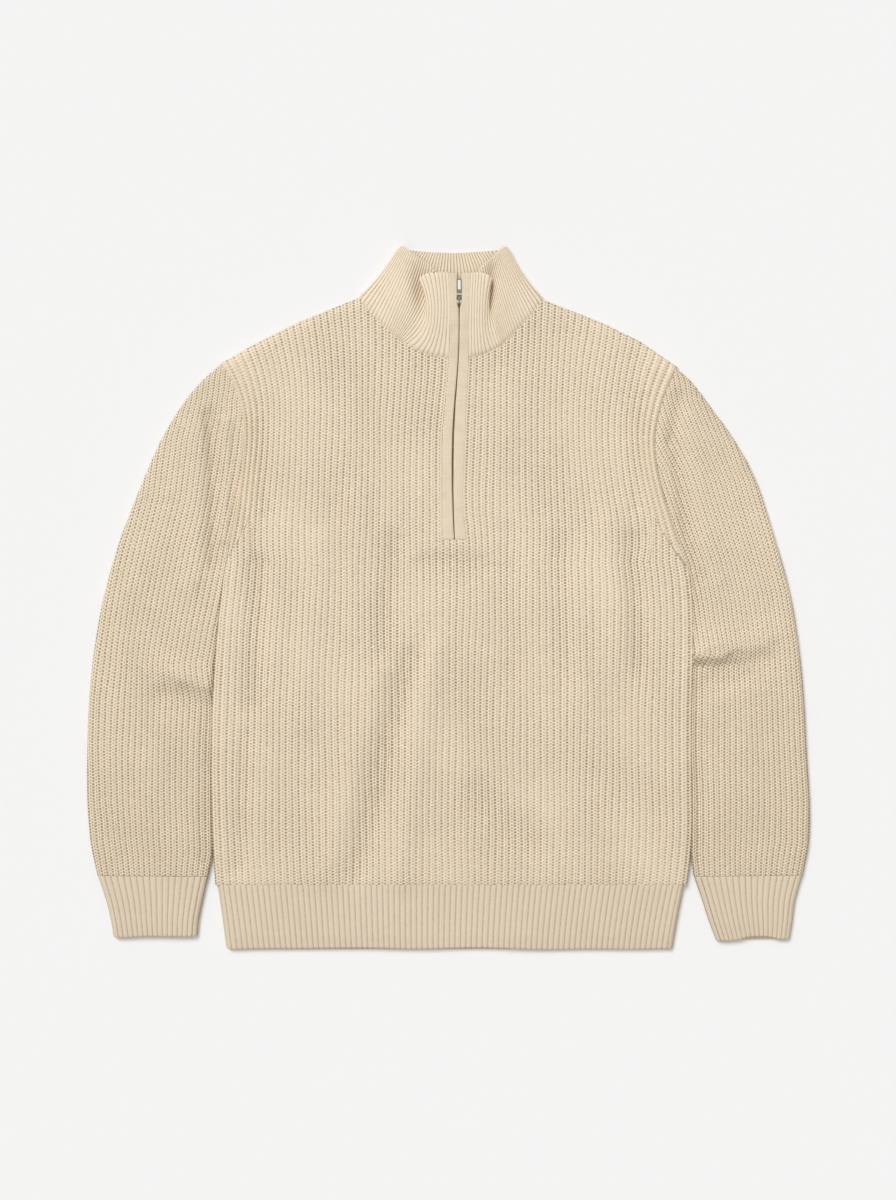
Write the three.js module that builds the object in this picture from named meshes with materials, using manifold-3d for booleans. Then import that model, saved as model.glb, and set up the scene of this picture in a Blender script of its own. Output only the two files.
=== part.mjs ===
import * as THREE from 'three';
import Module from 'manifold-3d';

// Quarter zip sweater in thick rib knit, laid flat on its back panel.
// Millimetres. +X runs to the right across the chest, +Y towards the collar, +Z up.
// Left and right are as seen from above, with the collar away from the viewer.

// Cloth thicknesses and gaps
const WALL = 2.6;
const BACK_WALL = 3.0;
const BAND_WALL = 2.2;
const COLLAR_WALL = 2.4;
const TAPE_WALL = 0.7;
const SEAM = 0.3;
const LAYER_GAP = 3.3;
const WIDEST_GAP = 3.9;
const EDGE_ROUND = 9;
const SETBACK = 1.5;
const SLAB_INSET = 1.2;
const MOUTH_GAP = 0.4;
const COLLAR_SEAM = 2.5 * SEAM;

// Rib heights above the wall, and how many ribs each piece has
const RIB_HEIGHT = 1.2;
const BAND_RIB_HEIGHT = 0.8;
const COLLAR_RIB_HEIGHT = 0.7;
const FRONT_RIBS = { left: 35, under_zip: 3.5, right: 34 };
const HEM_RIBS = 82;
const SLEEVE_RIBS = 21;
const CUFF_RIBS = 17;
const COLLAR_RIBS = 30;

// Levels of the flat layers
const FRONT_EDGE = BACK_WALL + SEAM + WALL;
const FRONT_LEVEL = BACK_WALL + LAYER_GAP + WALL;
const HEM_LEVEL = FRONT_LEVEL - 0.5;
const SLEEVE_DEPTH = 9;
const CUFF_DEPTH = 8;
const DEEPEST_CREASE = -3.4;
const HIGHEST_FOLD = 6;
const LAST_HEM_ROW_SHARE = 0.55;
const UNDERARM_FADE = 25;
const SHOULDER_SLOPE = 0.9;

// Side edges of the body, from the hem seam up to the shoulder tips
const PLACKET_FOOT = 62.5;
const PLACKET_NECK = 259.3;
const BODY = [
  { y: -310.5, left: -249.5, right: 255.0 },
  { y: -283.5, left: -251.5, right: 258.5 },
  { y: -250.0, left: -253.2, right: 260.8 },
  { y: -218.0, left: -254.0, right: 260.8 },
  { y: -186.5, left: -254.5, right: 260.5 },
  { y: -155.0, left: -254.2, right: 260.5 },
  { y: -123.0, left: -253.6, right: 260.7 },
  { y: -92.0, left: -252.2, right: 261.4 },
  { y: -61.0, left: -250.0, right: 262.2 },
  { y: -30.0, left: -247.5, right: 262.2 },
  { y: 1.0, left: -244.0, right: 261.2 },
  { y: 38.5, left: -240.0, right: 255.5 },
  { y: PLACKET_FOOT, left: -235.2, right: 247.5 },
  { y: 87.0, left: -230.7, right: 240.0 },
  { y: 116.0, left: -226.5, right: 231.5 },
  { y: 145.0, left: -223.0, right: 225.2 },
  { y: 175.0, left: -221.0, right: 223.6 },
  { y: 205.0, left: -224.0, right: 229.2 },
  { y: 228.0, left: -231.5, right: 237.0 },
  { y: 243.0, left: -239.0, right: 243.7 },
  { y: 253.5, left: -245.5, right: 248.0 },
];
const UNDERARM_ROW = 11;
const PLACKET_ROW = 12;

// Shoulder lines and front neckline, and the neckline of the back panel
const TOP_LINE = [
  { x: -245.5, y: 253.5 },
  { x: -208.0, y: 275.0 },
  { x: -169.0, y: 294.5 },
  { x: -130.0, y: 311.0 },
  { x: -96.5, y: 324.0 },
  { x: -82.5, y: 306.0 },
  { x: -65.5, y: 289.0 },
  { x: -46.0, y: 273.5 },
  { x: -32.5, y: 266.0 },
  { x: -20.0, y: 262.0 },
  { x: -9.0, y: 259.7 },
  { x: 9.0, y: 258.7 },
  { x: 28.5, y: 260.0 },
  { x: 43.5, y: 265.0 },
  { x: 60.0, y: 274.5 },
  { x: 76.5, y: 291.0 },
  { x: 92.0, y: 308.0 },
  { x: 102.5, y: 322.5 },
  { x: 129.0, y: 311.5 },
  { x: 168.0, y: 296.5 },
  { x: 207.0, y: 277.0 },
  { x: 248.0, y: 249.0 },
];
const BACK_NECK = [
  { x: -96.5, y: 324.0 },
  { x: -89.0, y: 314.0 },
  { x: -63.0, y: 306.0 },
  { x: -30.0, y: 301.0 },
  { x: 3.0, y: 299.5 },
  { x: 36.0, y: 301.0 },
  { x: 69.5, y: 305.0 },
  { x: 95.0, y: 313.0 },
  { x: 102.5, y: 322.5 },
];
const NECK_LEFT = -96.5;
const NECK_RIGHT = 102.5;

// Rib band at the bottom of the body, front and back alike
const HEM = [
  { y: -380.1, left: -240.0, right: 242.5 },
  { y: -372.0, left: -241.0, right: 243.5 },
  { y: -345.0, left: -244.5, right: 248.0 },
  { y: -310.8, left: -249.5, right: 255.0 },
];

// Sleeves as flat tubes: each row is one section from its outer to its inner edge
const SLEEVE_LEFT = [
  { outX: -246.0, outY: 253.0, inX: -240.4, inY: 38.5 },
  { outX: -265.0, outY: 236.0, inX: -244.0, inY: 14.5 },
  { outX: -285.5, outY: 212.0, inX: -246.7, inY: -9.0 },
  { outX: -311.5, outY: 169.0, inX: -249.4, inY: -35.0 },
  { outX: -337.5, outY: 108.5, inX: -251.5, inY: -62.0 },
  { outX: -358.0, outY: 53.5, inX: -253.5, inY: -89.0 },
  { outX: -373.0, outY: -0.5, inX: -254.8, inY: -117.0 },
  { outX: -383.0, outY: -56.5, inX: -255.6, inY: -148.5 },
  { outX: -388.5, outY: -110.5, inX: -256.0, inY: -181.0 },
  { outX: -390.5, outY: -164.5, inX: -255.8, inY: -213.5 },
  { outX: -390.5, outY: -218.5, inX: -255.2, inY: -245.5 },
  { outX: -387.0, outY: -264.0, inX: -255.0, inY: -275.0 },
  { outX: -379.5, outY: -300.5, inX: -259.5, inY: -301.5 },
];
const SLEEVE_RIGHT = [
  { outX: 248.5, outY: 248.5, inX: 255.9, inY: 38.5 },
  { outX: 266.0, outY: 231.5, inX: 260.8, inY: 14.5 },
  { outX: 286.5, outY: 203.5, inX: 263.4, inY: -7.0 },
  { outX: 310.5, outY: 169.0, inX: 263.8, inY: -33.0 },
  { outX: 333.0, outY: 126.0, inX: 263.8, inY: -61.0 },
  { outX: 353.5, outY: 62.0, inX: 263.2, inY: -89.0 },
  { outX: 369.0, outY: 6.0, inX: 262.5, inY: -117.0 },
  { outX: 378.5, outY: -51.5, inX: 262.0, inY: -148.5 },
  { outX: 384.0, outY: -107.5, inX: 262.0, inY: -181.0 },
  { outX: 387.0, outY: -164.5, inX: 262.3, inY: -213.5 },
  { outX: 390.5, outY: -224.0, inX: 262.3, inY: -245.5 },
  { outX: 389.5, outY: -264.0, inX: 262.2, inY: -275.0 },
  { outX: 383.0, outY: -300.0, inX: 265.0, inY: -301.5 },
];
const CUFF_LEFT = [
  { outX: -379.0, outY: -300.9, inX: -260.0, inY: -301.9 },
  { outX: -370.0, outY: -328.0, inX: -266.0, inY: -328.0 },
  { outX: -365.0, outY: -348.5, inX: -270.0, inY: -348.5 },
  { outX: -362.0, outY: -366.0, inX: -271.5, inY: -364.5 },
];
const CUFF_RIGHT = [
  { outX: 382.5, outY: -300.4, inX: 265.5, inY: -301.9 },
  { outX: 375.0, outY: -326.5, inX: 274.5, inY: -328.0 },
  { outX: 372.0, outY: -348.5, inX: 281.5, inY: -349.5 },
  { outX: 369.0, outY: -367.5, inX: 289.0, inY: -369.5 },
];

// Where sections are cut along a sleeve, counted in rows of its table, closer at the elbow
const SLEEVE_CUTS = [0, 1, 2, 3, 4, 4.5, 5, 5.33, 5.67, 6, 6.33, 6.67, 7, 7.5, 8, 9, 10, 11, 12];
const MOUTH_ROWS = 5;

// Insets of the round edge of a flat tube
const FINE_INSET = 1.2;
const EDGE_INSETS = [FINE_INSET, 3.5, EDGE_ROUND];

// The collar, from the left placket band round the back to the right one.
// x, y and z at the neck seam, half way up and at the top edge. The seam's y follows the necklines.
const COLLAR = [
  { seamX: 0.7, seamZ: 10.5, midX: 1.6, midY: 302.0, midZ: 17.0, topX: 0.4, topY: 348.5, topZ: 19.0 },
  { seamX: -20.0, seamZ: 10.4, midX: -9.5, midY: 299.5, midZ: 17.0, topX: -11.0, topY: 348.5, topZ: 19.0 },
  { seamX: -33.0, seamZ: 10.2, midX: -19.0, midY: 299.5, midZ: 15.8, topX: -18.5, topY: 346.5, topZ: 17.2 },
  { seamX: -48.0, seamZ: 9.8, midX: -29.5, midY: 302.0, midZ: 12.8, topX: -24.5, topY: 345.0, topZ: 13.0 },
  { seamX: -55.5, seamZ: 9.8, midX: -38.5, midY: 318.0, midZ: 15.0, topX: -25.5, topY: 355.0, topZ: 18.0 },
  { seamX: -65.5, seamZ: 9.6, midX: -50.0, midY: 330.0, midZ: 14.8, topX: -34.0, topY: 364.0, topZ: 17.0 },
  { seamX: -80.5, seamZ: 9.2, midX: -63.5, midY: 339.0, midZ: 12.8, topX: -43.5, topY: 372.5, topZ: 14.0 },
  { seamX: -91.5, seamZ: 8.4, midX: -73.0, midY: 347.5, midZ: 10.0, topX: -49.0, topY: 377.5, topZ: 10.0 },
  { seamX: -97.2, seamZ: 4.6, midX: -76.5, midY: 350.0, midZ: 5.0, topX: -53.5, topY: 380.0, topZ: 5.0 },
  { seamX: -91.5, seamZ: 0.0, midX: -72.0, midY: 346.0, midZ: 0.0, topX: -48.0, topY: 376.5, topZ: 0.0 },
  { seamX: -63.0, seamZ: 0.0, midX: -50.0, midY: 339.5, midZ: 0.0, topX: -31.0, topY: 374.0, topZ: 0.0 },
  { seamX: 3.0, seamZ: 0.0, midX: 4.0, midY: 336.5, midZ: 0.0, topX: 4.0, topY: 372.0, topZ: 0.0 },
  { seamX: 69.5, seamZ: 0.0, midX: 60.0, midY: 338.5, midZ: 0.0, topX: 40.5, topY: 374.0, topZ: 0.0 },
  { seamX: 97.0, seamZ: 0.0, midX: 79.5, midY: 346.0, midZ: 0.0, topX: 60.0, topY: 376.5, topZ: 0.0 },
  { seamX: 103.2, seamZ: 4.6, midX: 83.5, midY: 350.5, midZ: 5.0, topX: 65.0, topY: 380.0, topZ: 5.0 },
  { seamX: 97.0, seamZ: 8.4, midX: 79.5, midY: 347.5, midZ: 10.0, topX: 60.0, topY: 377.0, topZ: 10.0 },
  { seamX: 86.0, seamZ: 9.2, midX: 70.0, midY: 338.5, midZ: 12.8, topX: 54.5, topY: 372.0, topZ: 14.0 },
  { seamX: 72.0, seamZ: 9.6, midX: 58.0, midY: 329.0, midZ: 14.8, topX: 46.0, topY: 364.5, topZ: 17.0 },
  { seamX: 62.0, seamZ: 9.8, midX: 50.0, midY: 318.0, midZ: 15.0, topX: 40.5, topY: 355.5, topZ: 18.0 },
  { seamX: 54.5, seamZ: 9.8, midX: 46.0, midY: 302.0, midZ: 12.8, topX: 44.0, topY: 345.0, topZ: 13.0 },
  { seamX: 42.5, seamZ: 10.2, midX: 38.5, midY: 299.5, midZ: 15.8, topX: 38.5, topY: 346.5, topZ: 17.2 },
  { seamX: 32.0, seamZ: 10.4, midX: 30.5, midY: 299.5, midZ: 17.0, topX: 31.0, topY: 348.5, topZ: 19.0 },
  { seamX: 22.0, seamZ: 10.5, midX: 22.6, midY: 302.0, midZ: 17.0, topX: 24.0, topY: 348.5, topZ: 19.0 },
];
const COLLAR_LEFT_FOLD = 8;
const COLLAR_RIGHT_FOLD = 14;
const COLLAR_ROWS = 5;
const COLLAR_BACK_COLUMNS = 12;

// Placket bands: their outer edges, the zip line between them, the gap along it and their level
const PLACKET = [
  { y: PLACKET_FOOT, left: -6.0, right: 18.5, zip: 6.5, gap: 1.3, level: 9.6 },
  { y: 87.7, left: -6.0, right: 16.0, zip: 5.3, gap: 2.0, level: 9.7 },
  { y: 117.6, left: -6.0, right: 15.3, zip: 4.5, gap: 2.3, level: 9.8 },
  { y: 147.5, left: -6.0, right: 16.5, zip: 4.5, gap: 2.9, level: 9.8 },
  { y: 178.4, left: -5.6, right: 17.5, zip: 5.1, gap: 3.0, level: 9.8 },
  { y: 209.3, left: -2.6, right: 18.8, zip: 6.9, gap: 2.5, level: 9.8 },
  { y: 233.0, left: -0.2, right: 20.2, zip: 8.9, gap: 1.8, level: 9.9 },
  { y: 248.5, left: 0.7, right: 20.8, zip: 10.0, gap: 1.5, level: 10.2 },
  { y: PLACKET_NECK, left: 1.1, right: 21.1, zip: 10.7, gap: 1.4, level: 11.0 },
  { y: 276.0, left: 1.9, right: 21.5, zip: 11.3, gap: 1.3, level: 13.6 },
  { y: 299.5, left: 2.2, right: 22.0, zip: 11.5, gap: 1.3, level: 17.0 },
  { y: 312.0, left: 2.2, right: 22.2, zip: 11.5, gap: 1.9, level: 18.6 },
  { y: 316.0, left: 2.1, right: 22.3, zip: 11.5, gap: 6.8, level: 18.9 },
  { y: 335.0, left: 1.6, right: 22.8, zip: 11.5, gap: 6.8, level: 19.0 },
  { y: 348.5, left: 0.9, right: 23.4, zip: 11.5, gap: 6.8, level: 19.0 },
];
const BAND_CROWN = 0.6;
const TAPE_DROP = BAND_WALL + 0.35;
const TAPE_HALF_GAP = 1.1;

// Soft creases: a line on the upper side, how wide it spreads, and its height or depth
const CREASES = [
  { fromX: -255.5, fromY: 204.5, toX: -246.5, toY: 137.5, width: 9.0, height: -3.0 },
  { fromX: -246.5, fromY: 137.5, toX: -248.5, toY: 51.5, width: 8.0, height: -2.6 },
  { fromX: 246.5, fromY: 222.0, toX: 236.5, toY: 170.0, width: 9.0, height: -3.0 },
  { fromX: 236.5, fromY: 159.5, toX: 259.0, toY: 46.0, width: 8.5, height: -2.8 },
  { fromX: -322.5, fromY: -56.5, toX: -266.0, toY: -76.0, width: 19.4, height: 4.2 },
  { fromX: -322.5, fromY: -97.5, toX: -261.0, toY: -115.0, width: 9.7, height: -3.2 },
  { fromX: 275.0, fromY: -41.5, toX: 347.0, toY: -33.0, width: 17.3, height: 4.2 },
  { fromX: 265.0, fromY: -68.5, toX: 336.5, toY: -62.0, width: 8.6, height: -3.4 },
  { fromX: -41.5, fromY: -67.5, toX: -100.0, toY: -299.5, width: 14.0, height: -2.5 },
  { fromX: -14.5, fromY: -56.5, toX: -52.5, toY: -305.0, width: 17.3, height: 1.8 },
  { fromX: -20.0, fromY: 38.5, toX: 34.0, toY: 40.5, width: 15.1, height: -1.6 },
  { fromX: -205.5, fromY: 35.0, toX: -212.0, toY: -110.5, width: 16.2, height: -2.0 },
  { fromX: -136.5, fromY: 56.5, toX: -160.5, toY: -132.5, width: 25.9, height: 1.8 },
  { fromX: 198.0, fromY: 40.5, toX: 207.0, toY: -56.5, width: 14.0, height: -1.8 },
  { fromX: 32.0, fromY: -208.0, toX: 88.0, toY: -262.0, width: 23.8, height: -1.8 },
  { fromX: 131.0, fromY: -2.5, toX: 147.5, toY: -240.5, width: 28.1, height: 1.5 },
  { fromX: -344.0, fromY: -2.5, toX: -355.0, toY: -175.5, width: 19.4, height: 1.5 },
  { fromX: -279.0, fromY: 181.0, toX: -322.5, toY: 40.5, width: 17.3, height: 1.8 },
  { fromX: 288.0, fromY: 181.0, toX: 331.0, toY: 40.5, width: 17.3, height: 1.8 },
  { fromX: 274.0, fromY: -100.0, toX: 276.0, toY: -208.0, width: 9.7, height: -2.2 },
  { fromX: -268.0, fromY: -143.0, toX: -266.0, toY: -251.0, width: 8.6, height: -1.8 },
];

// Zip slider with its bail, and the pull tab that hangs in the bail
const SLIDER = { x: 11.5, y: 321.5, halfWide: 2.9, halfNarrow: 1.9, up: 5.5, down: 5.5 };
const SLIDER_LEVELS = { low: 14.2, lowTop: 15.3, high: 16.9, top: 18.1 };
const SLIDER_WEB = { half: 0.7, up: 4.2, down: 1.5 };
const BAIL = { half: 0.8, reach: 2.8, leg: 0.7, top: 21.3, roof: 0.85 };
const PULL_AXIS_Z = 19.55;
const PULL = { half: 2.7, thick: 1.0, tail: 0.5, length: 22, rail: 0.8, windowEnd: 4.4 };
const PULL_SLOT = { start: 10.5, end: 20.6, half: 1.5 };

// Colours of the finishes
const YARN = { color: 0xddccb2, roughness: 0.92, metalness: 0 };
const BAND_YARN = { color: 0xe6d5bd, roughness: 0.9, metalness: 0 };
const TAPE_CLOTH = { color: 0xcdbb9f, roughness: 0.85, metalness: 0 };
const METAL = { color: 0xb9b7b2, roughness: 0.3, metalness: 1 };

const clamp = THREE.MathUtils.clamp;
const lerp = THREE.MathUtils.lerp;

// Row of a table below a place, and how far the place lies towards the next row
function locate(rows, key, at) {
  let k = 0;
  while (k < rows.length - 2 && at > rows[k + 1][key]) {
    k += 1;
  }
  const t = (at - rows[k][key]) / (rows[k + 1][key] - rows[k][key]);
  return { k, t: clamp(t, 0, 1) };
}

// Straight reading of one column of a table
function straight(rows, key, field, at) {
  const { k, t } = locate(rows, key, at);
  return lerp(rows[k][field], rows[k + 1][field], t);
}

// Smooth reading of one column of a table by row number, as a curve through every row
function curved(rows, field, at) {
  const k = clamp(Math.floor(at), 0, rows.length - 2);
  const t = at - k;
  const value = (n) => rows[clamp(n, 0, rows.length - 1)][field];
  const slopeA = (value(k + 1) - value(k - 1)) / 2;
  const slopeB = (value(k + 2) - value(k)) / 2;
  const t2 = t * t;
  const t3 = t2 * t;
  return value(k) * (2 * t3 - 3 * t2 + 1) + slopeA * (t3 - 2 * t2 + t)
    + value(k + 1) * (3 * t2 - 2 * t3) + slopeB * (t3 - t2);
}

// Height of the round edge of a layer, from 0 at the edge to 1 where it is flat
function rounding(distance, reach = EDGE_ROUND) {
  const rest = 1 - clamp(distance / reach, 0, 1);
  return Math.sqrt(1 - rest * rest);
}

// Sum of the creases at a place on the upper side
function relief(x, y) {
  let sum = 0;
  for (const crease of CREASES) {
    const alongX = crease.toX - crease.fromX;
    const alongY = crease.toY - crease.fromY;
    const length2 = alongX * alongX + alongY * alongY;
    const raw = ((x - crease.fromX) * alongX + (y - crease.fromY) * alongY) / length2;
    const t = clamp(raw, 0, 1);
    const away = Math.hypot(x - crease.fromX - alongX * t, y - crease.fromY - alongY * t);
    sum += crease.height * Math.exp(-((away / crease.width) ** 2));
  }
  return sum;
}

// Closed wall over a grid: a ribbed outer face, a plain inner face on fewer columns,
// and a rim along every open edge
function wall({ columns, rows, outer, inner, has = () => true, coarse = (i) => i, round = false }) {
  const positions = [];
  const known = new Map();
  const triangles = [];
  const vertex = (make, name, i, j) => {
    const column = round ? i % columns : i;
    const key = `${name} ${column} ${j}`;
    if (!known.has(key)) {
      known.set(key, positions.length / 3);
      positions.push(...make(column, j));
    }
    return known.get(key);
  };
  const out = (i, j) => vertex(outer, 'outer', i, j);
  const back = (i, j) => vertex(inner, 'inner', coarse(i), j);
  const triangle = (a, b, c) => {
    if (a !== b && b !== c && c !== a) {
      triangles.push(a, b, c);
    }
  };
  const quad = (a, b, c, d) => {
    triangle(a, b, c);
    triangle(a, c, d);
  };
  const cell = (i, j) => {
    const column = round ? (i + columns) % columns : i;
    return column >= 0 && column < columns && j >= 0 && j < rows && has(column, j);
  };
  const rim = (a, b) => quad(out(...b), out(...a), back(...a), back(...b));
  for (let i = 0; i < columns; i += 1) {
    for (let j = 0; j < rows; j += 1) {
      if (!cell(i, j)) {
        continue;
      }
      quad(out(i, j), out(i + 1, j), out(i + 1, j + 1), out(i, j + 1));
      quad(back(i, j), back(i, j + 1), back(i + 1, j + 1), back(i + 1, j));
      if (!cell(i, j - 1)) rim([i, j], [i + 1, j]);
      if (!cell(i + 1, j)) rim([i + 1, j], [i + 1, j + 1]);
      if (!cell(i, j + 1)) rim([i + 1, j + 1], [i, j + 1]);
      if (!cell(i - 1, j)) rim([i, j + 1], [i, j]);
    }
  }
  return closed(positions, triangles);
}

// Geometry from points and triangles, turned so that its faces point out
function closed(positions, triangles) {
  let volume = 0;
  const point = (n) => new THREE.Vector3().fromArray(positions, 3 * n);
  for (let n = 0; n < triangles.length; n += 3) {
    const normal = point(triangles[n + 1]).cross(point(triangles[n + 2]));
    volume += point(triangles[n]).dot(normal);
  }
  const facing = volume < 0 ? [...triangles].reverse() : triangles;
  const geometry = new THREE.BufferGeometry();
  geometry.setAttribute('position', new THREE.Float32BufferAttribute(positions, 3));
  geometry.setIndex(facing);
  geometry.computeVertexNormals();
  return geometry;
}

// Columns that the plain inner face keeps: the named ones and every few between them
function keptColumns(named, step) {
  const kept = [];
  for (let n = 0; n < named.length - 1; n += 1) {
    for (let i = named[n]; i < named[n + 1]; i += step) {
      kept.push(i);
    }
  }
  kept.push(named[named.length - 1]);
  return (i) => kept.reduce((best, k) => (Math.abs(k - i) < Math.abs(best - i) ? k : best), kept[0]);
}

// A flat slab from an outline, with its lower face drawn in all round
function slab(outline, thickness, inset) {
  const count = outline.length;
  const contour = outline.map(([x, y]) => new THREE.Vector2(x, y));
  if (THREE.ShapeUtils.isClockWise(contour)) {
    contour.reverse();
  }
  const positions = [];
  for (const p of contour) {
    positions.push(p.x, p.y, thickness);
  }
  for (let n = 0; n < count; n += 1) {
    const before = contour[(n + count - 1) % count];
    const after = contour[(n + 1) % count];
    const along = after.clone().sub(before).normalize();
    positions.push(contour[n].x - along.y * inset, contour[n].y + along.x * inset, 0);
  }
  const triangles = [];
  for (const [a, b, c] of THREE.ShapeUtils.triangulateShape(contour, [])) {
    triangles.push(a, b, c, count + a, count + c, count + b);
  }
  for (let n = 0; n < count; n += 1) {
    const next = (n + 1) % count;
    triangles.push(n, count + n, count + next, n, count + next, next);
  }
  return closed(positions, triangles);
}

// Front panel

const LEFT_COLUMN = FRONT_RIBS.left * 2;
const RIGHT_COLUMN = LEFT_COLUMN + FRONT_RIBS.under_zip * 2;
const FRONT_COLUMNS = RIGHT_COLUMN + FRONT_RIBS.right * 2;
const FRONT_ROWS = BODY.length - 1;

const topLine = (x) => straight(TOP_LINE, 'x', 'y', x);
const bandLeft = (y) => straight(PLACKET, 'y', 'left', y) - SEAM;
const bandRight = (y) => straight(PLACKET, 'y', 'right', y) + SEAM;

// How far up a row above the placket's foot lies, from 0 there to 1 at the top line
function upperShare(j) {
  return Math.max((BODY[j].y - PLACKET_FOOT) / (BODY[FRONT_ROWS].y - PLACKET_FOOT), 0);
}

// A column keeps its even place, and is moved most where it lies by the edge that moves
function spread(t, sideAtHem, side, slitAtFoot, slit) {
  return lerp(sideAtHem, slitAtFoot, t) + (side - sideAtHem) * (1 - t) ** 2 + (slit - slitAtFoot) * t ** 2;
}

// Across the front: columns spread between the side edge and the placket
function frontX(i, j) {
  const y = lerp(PLACKET_FOOT, PLACKET_NECK, upperShare(j));
  if (i <= LEFT_COLUMN) {
    const t = i / LEFT_COLUMN;
    return spread(t, BODY[0].left, BODY[j].left, bandLeft(PLACKET_FOOT), bandLeft(y));
  }
  if (i < RIGHT_COLUMN) {
    const t = (i - LEFT_COLUMN) / (RIGHT_COLUMN - LEFT_COLUMN);
    return lerp(bandLeft(PLACKET_FOOT), bandRight(PLACKET_FOOT), t);
  }
  const t = (FRONT_COLUMNS - i) / (FRONT_COLUMNS - RIGHT_COLUMN);
  return spread(t, BODY[0].right, BODY[j].right, bandRight(PLACKET_FOOT), bandRight(y));
}

function frontPlace(i, j) {
  const x = frontX(i, j);
  if (j <= PLACKET_ROW) {
    return { x, y: BODY[j].y };
  }
  const inSlit = i >= LEFT_COLUMN && i <= RIGHT_COLUMN;
  const top = inSlit ? PLACKET_NECK : topLine(frontX(i, FRONT_ROWS));
  return { x, y: lerp(PLACKET_FOOT, top, upperShare(j)) };
}

// Level of the front under its ribs: it rounds down to the side seams and shoulders
function frontLevel(x, y, j) {
  const open = clamp((BODY[UNDERARM_ROW].y + UNDERARM_FADE - y) / UNDERARM_FADE, 0, 1);
  const side = Math.min(x - BODY[j].left, BODY[j].right - x);
  const onShoulder = x < NECK_LEFT || x > NECK_RIGHT;
  const shoulder = onShoulder ? (topLine(x) - y) * SHOULDER_SLOPE : EDGE_ROUND;
  const roundSide = lerp(1, rounding(side), open);
  const flat = Math.min(roundSide, rounding(shoulder));
  const height = Math.max(FRONT_LEVEL - FRONT_EDGE + relief(x, y), 0);
  return FRONT_EDGE + height * flat;
}

// The plain inside lies one wall lower and stays close over the layer beneath
function plainLayer(level, thickness) {
  return clamp(level - thickness, BACK_WALL + SEAM, BACK_WALL + WIDEST_GAP);
}

function frontPanel() {
  const outer = (i, j) => {
    const { x, y } = frontPlace(i, j);
    const rib = i % 2 === 1 ? RIB_HEIGHT : 0;
    return [x, y, frontLevel(x, y, j) + rib];
  };
  const inner = (i, j) => {
    const { x, y } = frontPlace(i, j);
    const setBack = j === FRONT_ROWS && i > 0 && i < FRONT_COLUMNS ? SETBACK : 0;
    return [x, y - setBack, plainLayer(frontLevel(x, y, j), WALL)];
  };
  const slit = (i, j) => i >= LEFT_COLUMN && i < RIGHT_COLUMN && j >= PLACKET_ROW;
  return wall({
    columns: FRONT_COLUMNS,
    rows: FRONT_ROWS,
    outer,
    inner,
    has: (i, j) => !slit(i, j),
    coarse: keptColumns([0, LEFT_COLUMN, RIGHT_COLUMN, FRONT_COLUMNS], 8),
  });
}

// The edge of the front along an armhole, from the underarm up to the shoulder tip
function armhole(column) {
  const rows = [];
  for (let j = UNDERARM_ROW; j <= FRONT_ROWS; j += 1) {
    rows.push(frontPlace(column, j));
  }
  return rows;
}

const ARMHOLE_LEFT = armhole(0);
const ARMHOLE_RIGHT = armhole(FRONT_COLUMNS);

// Back panel and hem

function backPanel() {
  const outline = [];
  for (let j = 0; j <= FRONT_ROWS; j += 1) {
    const { x, y } = frontPlace(0, j);
    outline.push([x, y]);
  }
  for (const { x, y } of TOP_LINE.filter((row) => row.x > TOP_LINE[0].x && row.x < NECK_LEFT)) {
    outline.push([x, y]);
  }
  for (const { x, y } of BACK_NECK) {
    outline.push([x, y]);
  }
  const rightTip = TOP_LINE[TOP_LINE.length - 1].x;
  for (const { x, y } of TOP_LINE.filter((row) => row.x > NECK_RIGHT && row.x < rightTip)) {
    outline.push([x, y]);
  }
  for (let j = FRONT_ROWS; j >= 0; j -= 1) {
    const { x, y } = frontPlace(FRONT_COLUMNS, j);
    outline.push([x, y]);
  }
  return slab(outline, BACK_WALL, SLAB_INSET);
}

function hemFront() {
  const columns = HEM_RIBS * 2;
  const place = (i, j) => lerp(HEM[j].left, HEM[j].right, i / columns);
  const level = (x, j) => {
    const side = Math.min(x - HEM[j].left, HEM[j].right - x);
    const edge = j === 0 ? LAST_HEM_ROW_SHARE : 1;
    const height = Math.max(HEM_LEVEL - FRONT_EDGE + relief(x, HEM[j].y), 0);
    return FRONT_EDGE + height * rounding(side) * edge;
  };
  return wall({
    columns,
    rows: HEM.length - 1,
    outer: (i, j) => {
      const x = place(i, j);
      return [x, HEM[j].y, level(x, j) + (i % 2 === 1 ? BAND_RIB_HEIGHT : 0)];
    },
    inner: (i, j) => {
      const x = place(i, j);
      return [x, HEM[j].y, plainLayer(level(x, j), WALL)];
    },
    coarse: keptColumns([0, columns], 12),
  });
}

function hemBack() {
  const outline = HEM.map((row) => [row.left, row.y]);
  outline.push(...[...HEM].reverse().map((row) => [row.right, row.y]));
  return slab(outline, BACK_WALL, SLAB_INSET);
}

// Sleeves and cuffs

// Stations round a flat tube: the ribbed upper side from its outer to its inner edge,
// then the plain under side back again
function tubeStations(ribs) {
  const stations = [{ share: 0, inset: 0, upper: true, rib: 0 }];
  stations.push({ share: 0, inset: FINE_INSET, upper: true, rib: 0 });
  for (let c = 1; c < ribs * 2; c += 1) {
    stations.push({ share: c / (ribs * 2), inset: 0, upper: true, rib: c % 2 });
  }
  stations.push({ share: 1, inset: -FINE_INSET, upper: true, rib: 0 });
  stations.push({ share: 1, inset: 0, upper: true, rib: 0 });
  for (const inset of EDGE_INSETS) {
    stations.push({ share: 1, inset: -inset, upper: false, rib: 0 });
  }
  stations.push({ share: 0.5, inset: 0, upper: false, rib: 0 });
  for (const inset of [...EDGE_INSETS].reverse()) {
    stations.push({ share: 0, inset, upper: false, rib: 0 });
  }
  return stations;
}

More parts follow.
